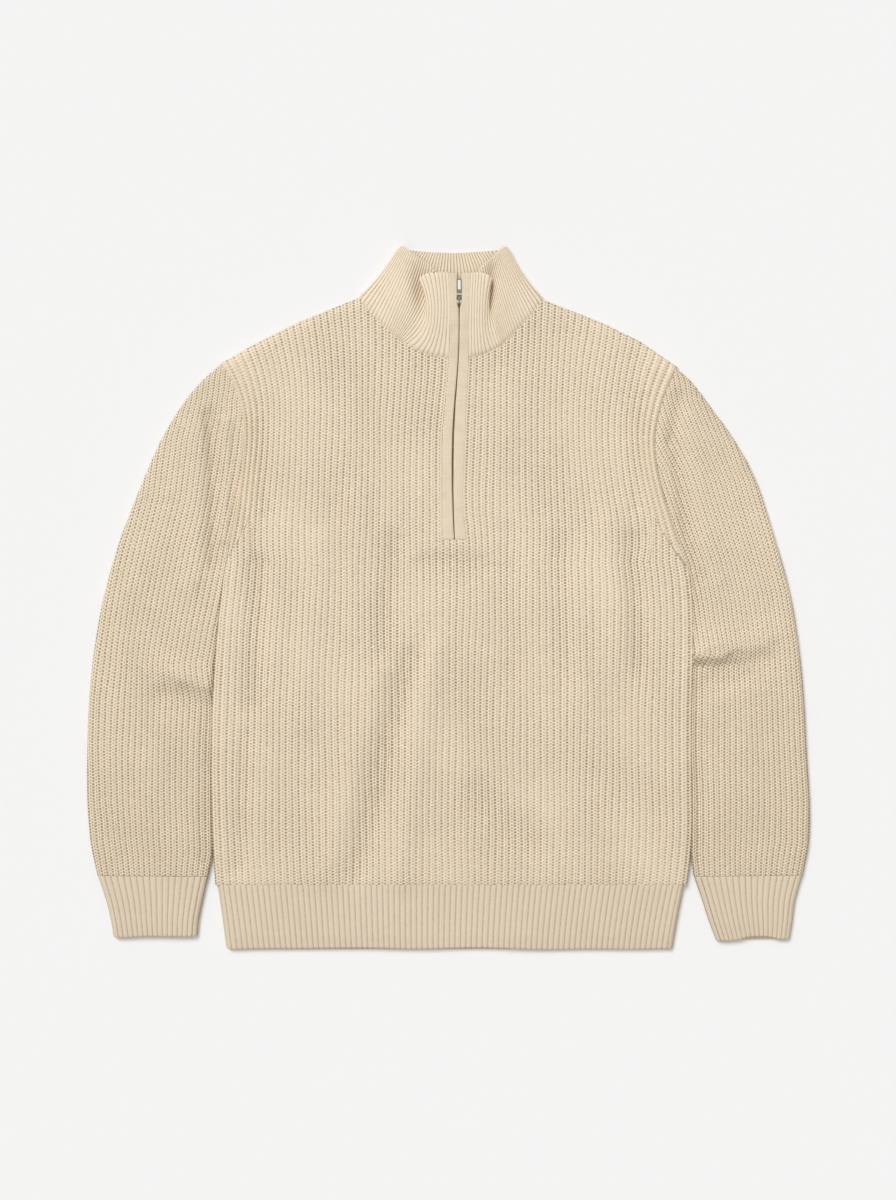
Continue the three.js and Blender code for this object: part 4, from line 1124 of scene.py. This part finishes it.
def elbow_shift(x, y):
    """How far the ribs are pushed outwards above the fold of each elbow."""
    on_left = x < 0
    top = np.where(on_left, 40.0, 30.0)
    fold = np.where(on_left, -73.0, -60.0)
    foot = np.where(on_left, -112.0, -76.0)
    rise = unit((top - y) / (top - fold)) ** 1.5
    fall = unit((y - foot) / (fold - foot))
    inside = unit((350 - np.abs(x)) / 60)
    return np.sign(x) * ELBOW_SHIFT * rise * fall * inside


class Tube:
    """A flat tube of knit between two edges given by a table of sections.

    raw runs from 0 at the outer edge to 1 at the inner one, edge is the distance to the
    nearer of the two, and above marks the upper layer. mouth names the body's side that a
    sleeve's upper end follows."""

    def __init__(self, rows, count, ribs, mouth=None):
        share, inset, upper = tube_stations(ribs)
        self.rows = rows
        self.mouth = mouth
        cuts = by_start(np.linspace(0, len(rows["outX"]) - 1, count + 1), 0.01)
        self.cuts = (by_end(cuts, 0.01) if mouth else cuts)[None, :]
        self.ends = [by_row(rows, name, self.cuts) for name in ("outX", "outY", "inX", "inY")]
        out_x, out_y, in_x, in_y = self.ends
        self.width = np.hypot(in_x - out_x, in_y - out_y)
        self.raw = share[:, None] + inset[:, None] / self.width
        self.part = unit(self.raw)
        self.edge = np.minimum(self.raw, 1 - self.raw) * self.width
        self.above = (np.arange(len(share)) < upper)[:, None]
        self.run_out = run_along(out_x, out_y)
        self.run_in = run_along(in_x, in_y)
        self.run = lerp(self.run_out[None, :], self.run_in[None, :], self.part)
        self.x, self.y = self.places(0.0)
        self.bend = np.clip(relief(self.x, self.y, False), DEEPEST_CREASE, HIGHEST_FOLD)

    def places(self, wall):
        """Places round the tube, drawn in by a wall's thickness."""
        out_x, out_y, in_x, in_y = self.ends
        part = lerp(wall / self.width, 1 - wall / self.width, self.raw)
        x = lerp(out_x, in_x, part)
        y = lerp(out_y, in_y, part)
        if not self.mouth:
            return x, y
        line_y = lerp(self.rows["outY"][0], self.rows["inY"][0], part)
        line_x = lerp(self.rows["outX"][0], self.rows["inX"][0], part)
        fade = unit(1 - self.cuts / MOUTH_ROWS) ** 1.5
        return x + (read_smooth(BODY, self.mouth, line_y) - line_x) * fade, y

    def to_end(self):
        """How far each point lies from the tube's lower end."""
        length = self.run_out[-1]
        run_in = self.run_in[None, :] + length - self.run_in[-1]
        return length - lerp(self.run_out[None, :], run_in, self.part)

    def walls(self, depth, raised, dip, sink=0.0):
        """Outer and inner points of the tube, with the height of its ribs."""
        middle = depth / 2
        round_out = rounding(self.edge)
        top = middle + (middle + self.bend - sink) * round_out - dip
        raised = raised * unit(self.edge / 3)
        heights = np.where(self.above, top + raised, middle * (1 - round_out))
        half = middle - WALL
        round_in = rounding(self.edge, EDGE_ROUND - WALL)
        lift = np.clip(np.minimum(self.bend - sink, 0), 0.3 - 2 * half, 0)
        inside = np.where(self.above, middle + (half + lift) * round_in, middle - half * round_in)
        return stack(self.x, self.y, heights), stack(*self.places(WALL), inside)

    def knit(self, number, run, course):
        """Places in the knitting, with painted shade in the gaps along the edges and in the folds."""
        edge_shade = lerp(0.35, 1.1, self.raw) * bell(self.edge, 7.0)
        return stack(number, run / course, 1 + edge_shade + 0.6 * painted_fold_shade(self.bend))


def run_along(x, y):
    """How far along a line each of its points lies."""
    return np.concatenate([[0.0], np.cumsum(np.hypot(np.diff(x), np.diff(y)))])


def sleeve_knit(rows, ribs, mouth, x, y):
    """Rib and course numbers on a sleeve, whose ribs run out at its seam and outer edge."""
    edge = np.interp(-y, -rows["outY"], rows["outX"])
    below = np.interp(-y, -rows["inY"], rows["inX"])
    seam = np.where(y > UNDERARM, read_smooth(BODY, mouth, y), below)
    inner = read(ribs, "inner", y)
    outer = read(ribs, "outer", y)
    width = np.where(np.abs(seam - edge) < 4, 4 * np.sign(seam - edge), seam - edge)
    across = x - elbow_shift(x, y)
    number = outer + (inner - outer) * (across - edge) / width
    lean = np.radians(SLEEVE_LEAN) * unit((y + 100) / 200)
    run = y * np.cos(lean) + np.abs(x - seam) * -np.sin(lean)
    return number + 0.12 * meander(x, y), run


def make_sleeve(side, rows, rib_rows):
    tube = Tube(rows, 170, SLEEVE_RIBS, side)
    number, run = sleeve_knit(rows, rib_rows, side, tube.x, tube.y)
    to_end = tube.to_end()
    raised = RIB_HEIGHT * rib(number) * lerp(RIB_AT_SEAM, 1.0, rounding(to_end, SEAM_REACH))
    dip = SLEEVE_SEAM_DIP * bell(tube.run, 2.0) + FOOT_DIP * bell(to_end, 3.0) * tube.above
    outer, inner = tube.walls(SLEEVE_DEPTH, raised, dip)
    knit = tube.knit(number, run, COURSE)
    piece = shell(f"sleeve_{side}_knit", outer, inner, knit, (6, 5), wrap=True)
    finish_piece(piece, SLEEVE_KNIT, "body_knit", f"sleeve_{side}")


def make_cuff(side, rows, draw_back):
    tube = Tube(rows, 22, CUFF_RIBS)
    number = tube.part * CUFF_RIBS
    raised = BAND_RIB_HEIGHT * rib(number, GROOVED) * np.clip(tube.run / SEAM_REACH, 0.1, 1)
    dip = -CUFF_SEAM_RISE * bell(tube.run, SEAM_REACH) * tube.above
    sink = CUFF_SETTLE * unit(1 - (tube.run_out[-1] - tube.run) / CUFF_SETTLE_REACH)
    outer, inner = tube.walls(CUFF_DEPTH, raised, dip, sink)
    share, _, _ = tube_stations(CUFF_RIBS)
    bow = draw_back * bell(share - 0.42, 0.24, 4)[:, None] * tube.above
    for face in (outer, inner):
        face[..., 1] += bow * np.linspace(0, 1, outer.shape[1]) ** 4
    rolled = roll_over(outer, inner, tube.knit(number, tube.run, BAND_COURSE), 3)
    piece = shell(f"cuff_{side}_knit", *rolled, (6, 6), wrap=True)
    finish_piece(piece, BAND_KNIT, "band_knit", f"cuff_{side}")


# Collar


def collar_hollow(t, f):
    """1 in the hollow on either side of the collar's front, 0 away from it."""
    out = 0.9 * unit((f - 0.45) / 0.4)
    beside = bell(t - 5.2 - out, 0.9) + bell(t - 20.8 + out, 0.9)
    return beside * bell(f - 0.72, 0.2)


def collar_points(t, f):
    """Points of the collar's outer face: t counts rows of its table, f runs up from the seam."""
    column = {name: by_row(COLLAR, name, t) for name in COLLAR}
    seam_x = column["seamX"]
    front = (t < COLLAR_LEFT_FOLD) | (t > COLLAR_RIGHT_FOLD)
    seam_y = np.where(front, top_line(seam_x) - 0.7, back_line(seam_x) + 0.3)
    weights = ((2 * f - 1) * (f - 1), 4 * f * (1 - f), f * (2 * f - 1))

    def blend(seam, middle, top):
        return seam * weights[0] + column[middle] * weights[1] + column[top] * weights[2]

    left = bell(t - COLLAR_LEFT_FOLD, FOLD_REACH)
    right = bell(t - COLLAR_RIGHT_FOLD, FOLD_REACH)
    tip = (left - right) * unit((f - 0.88) / 0.12) ** 2
    foot = unit(1 - f / 0.06)
    x = blend(seam_x, "midX", "topX") + FOLD_TIP_OUT * tip
    x = x - FOLD_FOOT_OUT * (left - right) * foot
    y = blend(seam_y, "midY", "topY") - FOLD_TIP_DOWN * np.abs(tip)
    y = y - FOLD_FOOT_DOWN * (left + right) * foot
    z = blend(column["seamZ"], "midZ", "topZ") - COLLAR_HOLLOW * collar_hollow(t, f)
    return stack(x, y, np.maximum(z, 0))


def collar_stations():
    """Places round the collar, the same number to each rib, and their rib numbers."""
    last = len(COLLAR["seamX"]) - 1.0
    places = []
    for start, end, ribs in (
        (0, COLLAR_LEFT_FOLD, COLLAR_RIBS),
        (COLLAR_LEFT_FOLD, COLLAR_RIGHT_FOLD, COLLAR_BACK_RIBS),
        (COLLAR_RIGHT_FOLD, last, COLLAR_RIBS),
    ):
        fine = np.linspace(start, end, 800)
        line = collar_points(fine, np.full_like(fine, 0.5))
        length = np.concatenate([[0], np.cumsum(np.linalg.norm(np.diff(line, axis=0), axis=1))])
        goals = np.linspace(0, length[-1], ribs * STEPS + 1)
        places.append(np.interp(goals, length, fine)[:-1])
    places.append(np.array([last]))
    t = np.concatenate(places)
    return t, np.arange(len(t)) / STEPS


def normals_of(points):
    """Directions out of a grid of points."""
    around = np.gradient(points, axis=0)
    up = np.gradient(points, axis=1)
    normal = np.cross(up, around)
    return normal / np.maximum(np.linalg.norm(normal, axis=2, keepdims=True), 1e-9)


def make_collar():
    t, number = (values[:, None] for values in collar_stations())
    f = by_start(np.linspace(0, 1, 37), SEAM_LINE / COLLAR_HEIGHT)[None, :]
    base = collar_points(t + 0 * f, f + 0 * t)
    normal = normals_of(base)
    height = f * COLLAR_HEIGHT
    middle = (t > COLLAR_LEFT_FOLD + 0.6) & (t < COLLAR_RIGHT_FOLD - 0.6)
    under = np.where(middle, 0.0, 1.0)
    raised = COLLAR_RIB_HEIGHT * rib(number, GROOVED) * under
    raised = raised * lerp(0.3, 1.0, unit(height / SEAM_REACH))
    seam_dip = COLLAR_SEAM_DIP * bell(height, 3.0)
    outer = base + normal * (raised - seam_dip * under)[..., None]
    outer[..., 2] = np.maximum(outer[..., 2], 0)
    inside = COLLAR_WALL - COLLAR_RIB_HEIGHT * rib(number + 0.5, GROOVED) * 0.9
    inner = base - normal * (inside + 0 * f)[..., None]
    at_fold = bell(t - COLLAR_LEFT_FOLD + 0.4, FOLD_REACH)
    at_fold = at_fold + bell(t - COLLAR_RIGHT_FOLD - 0.4, FOLD_REACH)
    # Painted shade: the gaps are painted darker in the hollows beside the collar's front and on the
    # sides of its folds.
    gaps_and_shade = 1 + HOLLOW_PAINTED_SHADE * collar_hollow(t, f) + FOLD_PAINTED_SHADE * at_fold
    rolled = roll_over(outer, inner, stack(number, height / BAND_COURSE, gaps_and_shade))
    # The inner face's gaps are painted darker, with twice the outer face's openness and shade:
    # painted shade inside the neck.
    piece = shell("collar_knit", *rolled, (1, 2), inner_knit=(0.5, 0, 2.0))
    finish_piece(piece, COLLAR_KNIT, "band_knit", "collar")


# Placket bands


BAND_SECTION = table(
    "share fall",
    (0, 0.8),
    (0.03, 0.4),
    (0.08, 0.15),
    (0.16, 0.04),
    (0.3, 0),
    (0.5, 0),
    (0.7, 0),
    (0.84, 0.05),
    (0.92, 0.2),
    (0.97, 0.5),
    (1, 1),
)


def make_band(name, side, outline, node):
    y = np.linspace(PLACKET["y"][0], PLACKET["y"][-1], 130)[None, :]
    edge = read(PLACKET, outline, y) + side * 0.9
    zip_x = read(PLACKET, "zip", y) + side * (read(PLACKET, "gap", y) * 0.62) / 2
    level = read(PLACKET, "level", y)
    x = lerp(edge, zip_x, BAND_SECTION["share"][:, None])
    outer = stack(x, y, level + 0.6 - BAND_SECTION["fall"][:, None])
    inner = stack(x, y, level - BAND_WALL + 0 * x)
    knit = stack(x / 1.7, y / 1.4, np.ones_like(x))
    piece = shell(name, *roll_over(outer, inner, knit, 3), (5, 4))
    finish_piece(piece, PLACKET_KNIT, "placket_knit", node)


def dress_node(node, material):
    thing = bpy.data.objects[node]
    thing.data.materials.clear()
    thing.data.materials.append(material)


# Linking stitches along the seams

STITCH_PITCH = 2.3
STITCH_HALF_LENGTH = 0.95
STITCH_HALF_WIDTH = 0.38
seam_lines = []


def lowest_near(values, reach):
    """The lowest of each value's neighbours."""
    wide = np.pad(values, reach, mode="edge")
    return np.min([wide[n:n + len(values)] for n in range(2 * reach + 1)], axis=0)


def link_front(outer, slit):
    """Notes the front panel's seams for their stitches: the neckline and both armholes."""
    top = outer[:, -2]
    in_neck = (top[:, 0] > NECK_LEFT + 3) & (top[:, 0] < NECK_RIGHT - 3)
    columns = np.arange(len(top))
    for part in (in_neck & (columns < slit[0]), in_neck & (columns > slit[1])):
        line = top[part]
        line[:, 2] = lowest_near(line[:, 2], 3) + 0.25
        seam_lines.append(line)
    for column in (2, -3):
        line = outer[column]
        line = line[(line[:, 1] > UNDERARM + 8) & (line[:, 1] < SHOULDER_TIP - 4)]
        seam_lines.append(line + (0, 0, 0.1))


def stitch_form():
    """Points and faces of one stitch that lies along +X."""
    points = [(-1, 0, 0)]
    for along, size in ((-0.7, 0.75), (0.0, 1.0), (0.7, 0.75)):
        for n in range(6):
            turn = math.pi * n / 3
            points.append((along, size * math.cos(turn), size * math.sin(turn)))
    points.append((1, 0, 0))
    faces = []
    for n in range(6):
        m = (n + 1) % 6
        faces.append((0, 1 + m, 1 + n))
        faces.append((19, 13 + n, 13 + m))
        for ring in (1, 7):
            faces.append((ring + n, ring + m, ring + 6 + m, ring + 6 + n))
    return np.array(points), faces


def make_stitches():
    form, faces = stitch_form()
    form = form * (STITCH_HALF_LENGTH, STITCH_HALF_WIDTH, STITCH_HALF_WIDTH)
    points = []
    all_faces = []
    for line in seam_lines:
        step = np.linalg.norm(np.diff(line, axis=0), axis=1)
        length = np.concatenate([[0], np.cumsum(step)])
        places = np.arange(STITCH_PITCH, length[-1] - STITCH_PITCH / 2, STITCH_PITCH)
        for place in places:
            ends = [np.array([np.interp(place + d, length, line[:, k]) for k in range(3)])
                    for d in (-1, 1)]
            along = ends[1] - ends[0]
            along = along / np.linalg.norm(along)
            side = np.cross((0, 0, 1), along)
            side = side / np.linalg.norm(side)
            up = np.cross(along, side)
            start = len(points) * len(form)
            points.append((ends[0] + ends[1]) / 2 + form @ np.array([along, side, up]))
            all_faces += [tuple(v + start for v in face) for face in faces]
    return loose_mesh("linking_stitches", np.concatenate(points), all_faces, True)


# The zip: teeth, slider and pull

TOOTH_PITCH = 1.7
SLIDER_X = 11.5
SLIDER_Y = 321.5
PULL_AXIS_Z = 19.55
# Material slots of the metal: a lighter nickel that is a painted highlight, and a dark metal
PAINTED_HIGHLIGHT, DARK = 0, 1


class Metalwork:
    """Closed metal forms gathered into one mesh, each face either the lighter nickel of a painted
    highlight or the dark metal.
    """

    def __init__(self):
        self.points = []
        self.faces = []
        self.lit_or_dark = []

    def rings(self, rings, lit_or_dark):
        """A closed form from rings of points, the first and last closed by a face each."""
        start = len(self.points)
        size = len(rings[0])
        for ring in rings:
            self.points += [tuple(p) for p in ring]
        self.face([start + n for n in range(size)][::-1], lit_or_dark)
        for k in range(len(rings) - 1):
            for n in range(size):
                a, b = start + k * size + n, start + k * size + (n + 1) % size
                self.face((a, b, b + size, a + size), lit_or_dark)
        last = start + (len(rings) - 1) * size
        self.face([last + n for n in range(size)], lit_or_dark)

    def face(self, corners, lit_or_dark):
        self.faces.append(tuple(corners))
        self.lit_or_dark.append(lit_or_dark)

    def block(self, x, y, z, bevel, lit_or_dark, corner=None):
        """A block between two corners with bevelled upper and lower edges."""
        corner = bevel if corner is None else corner
        rings = []
        for inset, level in ((bevel, z[0]), (0, z[0] + bevel), (0, z[1] - bevel),
                             (0.35 * bevel, z[1] - 0.35 * bevel), (bevel, z[1])):
            rings.append(self.outline(x, y, inset, corner, level))
        self.rings(rings, lit_or_dark)

    def plate(self, wide, y, z, bevel, corner=None, lit_or_dark=DARK):
        """A block as wide on the left as on the right."""
        self.block((-wide, wide), y, z, bevel, lit_or_dark, corner)

    def outline(self, x, y, inset, corner, level):
        """A rectangle with round corners, drawn in by an inset."""
        ring = []
        r = max(corner - inset, 0.02)
        for sx, sy, first in ((1, 1, 0), (-1, 1, 1), (-1, -1, 2), (1, -1, 3)):
            cx = (x[1] if sx > 0 else x[0]) - sx * (inset + r)
            cy = (y[1] if sy > 0 else y[0]) - sy * (inset + r)
            for n in range(4):
                turn = math.pi / 2 * (first + n / 3)
                ring.append((cx + r * math.cos(turn), cy + r * math.sin(turn), level))
        return ring

    def make(self, name, place):
        points = np.array(self.points) + place
        piece = loose_mesh(name, points, self.faces)
        piece.data.materials.append(NICKEL_HIGHLIGHT)
        piece.data.materials.append(DARK_NICKEL)
        piece.data.polygons.foreach_set("material_index", self.lit_or_dark)
        return piece


def make_teeth():
    work = Metalwork()
    y = PLACKET_FOOT + 3.0
    side = 1
    while y < SLIDER_Y - 4.0:
        middle = read(PLACKET, "zip", y)
        level = read(PLACKET, "level", y)
        across = sorted((middle + side * 1.3, middle - side * 0.35))
        work.block(across, (y - 0.42, y + 0.42), (level - 2.5, level - 1.0), 0.14, DARK)
        y += TOOTH_PITCH / 2
        side = -side
    piece = work.make("zip_teeth", (0, 0, 0))
    piece.data.materials[DARK] = TOOTH_METAL
    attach(piece, "sweater")


def arch(half_width, reach, foot, top, thick, corner):
    """Rings across a bail that stands on two legs."""
    path = [(-reach, foot), (-reach, top - corner)]
    for n in range(1, 6):
        turn = math.pi / 2 * n / 6
        y = -reach + corner - corner * math.cos(turn)
        path.append((y, top - corner + corner * math.sin(turn)))
    path.append((-reach + corner, top))
    path += [(-y, z) for y, z in path[::-1]]
    rings = []
    for n, (y, z) in enumerate(path):
        before, after = path[max(n - 1, 0)], path[min(n + 1, len(path) - 1)]
        dy, dz = after[0] - before[0], after[1] - before[1]
        size = math.hypot(dy, dz)
        iy, iz = dz / size * thick, -dy / size * thick
        rings.append([(-half_width, y, z), (half_width, y, z),
                      (half_width, y + iy, z + iz), (-half_width, y + iy, z + iz)])
    return rings


# The slider's blocks: lower wings, its neck, then the upper wings and their bright bar,
# which is a painted highlight
SLIDER_BLOCKS = (
    {"wide": 2.9, "y": (-0.6, 5.5), "z": (14.2, 15.3), "bevel": 0.3, "corner": 1.0},
    {"wide": 2.1, "y": (-5.5, 0.4), "z": (14.2, 15.3), "bevel": 0.3, "corner": 0.8},
    {"wide": 0.7, "y": (-1.5, 4.2), "z": (15.1, 17.1), "bevel": 0.1},
    {"wide": 2.9, "y": (-0.4, 5.5), "z": (16.9, 18.1), "bevel": 0.35, "corner": 1.0},
    {"wide": 2.75, "y": (-3.7, -0.9), "z": (16.9, 18.3), "bevel": 0.3, "corner": 0.5,
     "lit_or_dark": PAINTED_HIGHLIGHT},
    {"wide": 2.1, "y": (-5.5, -2.6), "z": (16.9, 17.8), "bevel": 0.4, "corner": 0.9},
)


def make_slider():
    work = Metalwork()
    for block in SLIDER_BLOCKS:
        work.plate(**block)
    work.rings(arch(0.8, 2.8, 18.0, 21.3, 0.75, 1.3), DARK)
    piece = work.make("slider", (SLIDER_X, SLIDER_Y, 0))
    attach(piece, "sweater")
    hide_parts("zip_slider")


# The pull: a frame round a bright plate, a knurled middle, and the bar at its end; the bright
# plate and a bright cross bar are painted highlights
PULL_HALF = 0.5
PULL_WIDE = 2.7
PULL_LEGS = (
    {"inner": 1.9, "y": (-0.4, 4.9), "bevel": 0.2, "corner": None},
    {"inner": 1.55, "y": (9.9, 21.0), "bevel": 0.22, "corner": 0.3},
)
KNURL_ROWS = 5


def add_knurl(work):
    """Small pyramids on the middle of the pull."""
    for row in range(KNURL_ROWS):
        for column in range(KNURL_ROWS):
            x, y = -2.05 + 1.025 * column, 6.35 + 0.86 * row
            base = [(x + dx, y + dy, 0.25) for dx, dy in ((-0.45, 0), (0, -0.4), (0.45, 0), (0, 0.4))]
            tip = [(x + 0.1 * (a - x), y + 0.1 * (b - y), PULL_HALF) for a, b, _ in base]
            work.rings([base, tip], DARK)


def make_pull():
    work = Metalwork()
    z = (-PULL_HALF, PULL_HALF)
    work.plate(PULL_WIDE, (-0.5, 0.5), z, 0.2)
    for side in (-1, 1):
        for leg in PULL_LEGS:
            x = sorted((side * leg["inner"], side * PULL_WIDE))
            work.block(x, leg["y"], z, leg["bevel"], DARK, leg["corner"])
    work.plate(PULL_WIDE, (4.4, 5.9), z, 0.25, lit_or_dark=PAINTED_HIGHLIGHT)
    work.plate(2.6, (5.7, 10.3), (-PULL_HALF, 0.3), 0.15)
    add_knurl(work)
    work.plate(PULL_WIDE, (20.4, 22.0), z, 0.22, 0.78)
    work.plate(1.75, (10.1, 20.7), (-PULL_HALF, 0.15), 0.1, 0.4, PAINTED_HIGHLIGHT)
    piece = work.make("pull_tab", (SLIDER_X, SLIDER_Y, PULL_AXIS_Z))
    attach(piece, "pull")
    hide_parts("zip_pull")


# The surface, lights and camera


def make_stage():
    bpy.ops.mesh.primitive_plane_add(size=6, location=(0, 0, -0.0002))
    floor = bpy.context.object
    floor.name = "floor"
    paper = Nodes("floor_paper")
    colour = (0.90, 0.903, 0.91)
    paper.surface({"Base Color": colour, "Roughness": 0.95, "Specular IOR Level": 0.1})
    floor.data.materials.append(paper.material)


def add_sun(name, energy, angle, towards):
    data = bpy.data.lights.new(name, "SUN")
    data.energy = energy
    data.angle = math.radians(angle)
    data.color = (1.0, 0.985, 0.96)
    light = bpy.data.objects.new(name, data)
    light.rotation_euler = Vector(towards).to_track_quat("-Z", "Y").to_euler()
    bpy.context.scene.collection.objects.link(light)


def make_lights():
    """A broad light from beyond the left shoulder, a weaker one overhead and an even sky."""
    world = bpy.data.worlds.new("studio")
    bpy.context.scene.world = world
    world.use_nodes = True
    sky = world.node_tree.nodes["Background"]
    sky.inputs["Color"].default_value = (0.98, 0.99, 1.0, 1)
    sky.inputs["Strength"].default_value = 0.355
    add_sun("window", 1.76, 28, (0.34, -0.48, -0.81))
    add_sun("overhead", 0.66, 50, (0, 0, -1))


def make_camera():
    data = bpy.data.cameras.new("camera")
    data.lens = 100
    data.sensor_width = 36
    camera = bpy.data.objects.new("camera", data)
    high = PICTURE_HIGH * PIXEL * MM
    camera.location = (
        (PICTURE_WIDE / 2 - PICTURE_ZERO_X) * PIXEL * MM,
        (PICTURE_ZERO_Y - PICTURE_HIGH / 2) * PIXEL * MM,
        data.lens / data.sensor_width * high + 0.009,
    )
    bpy.context.scene.collection.objects.link(camera)
    bpy.context.scene.camera = camera
    bpy.context.scene.view_settings.view_transform = "Standard"


make_stage()
make_lights()
make_camera()
make_back()
make_hem_back()
make_front()
make_hem_front()
make_sleeve("left", SLEEVE_LEFT, SLEEVE_LEFT_RIBS)
make_sleeve("right", SLEEVE_RIGHT, SLEEVE_RIGHT_RIBS)
make_cuff("left", CUFF_LEFT, 0.6)
make_cuff("right", CUFF_RIGHT, 3.4)
make_collar()
make_band("placket_band_left", -1, "left", "placket_left")
make_band("placket_band_right", 1, "right", "placket_right")
dress_node("zip_tape_left", TAPE_CLOTH)
dress_node("zip_tape_right", TAPE_CLOTH)
make_teeth()
make_slider()
make_pull()
stitches = make_stitches()
stitches.data.materials.append(LINKING_YARN)
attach(stitches, "sweater")
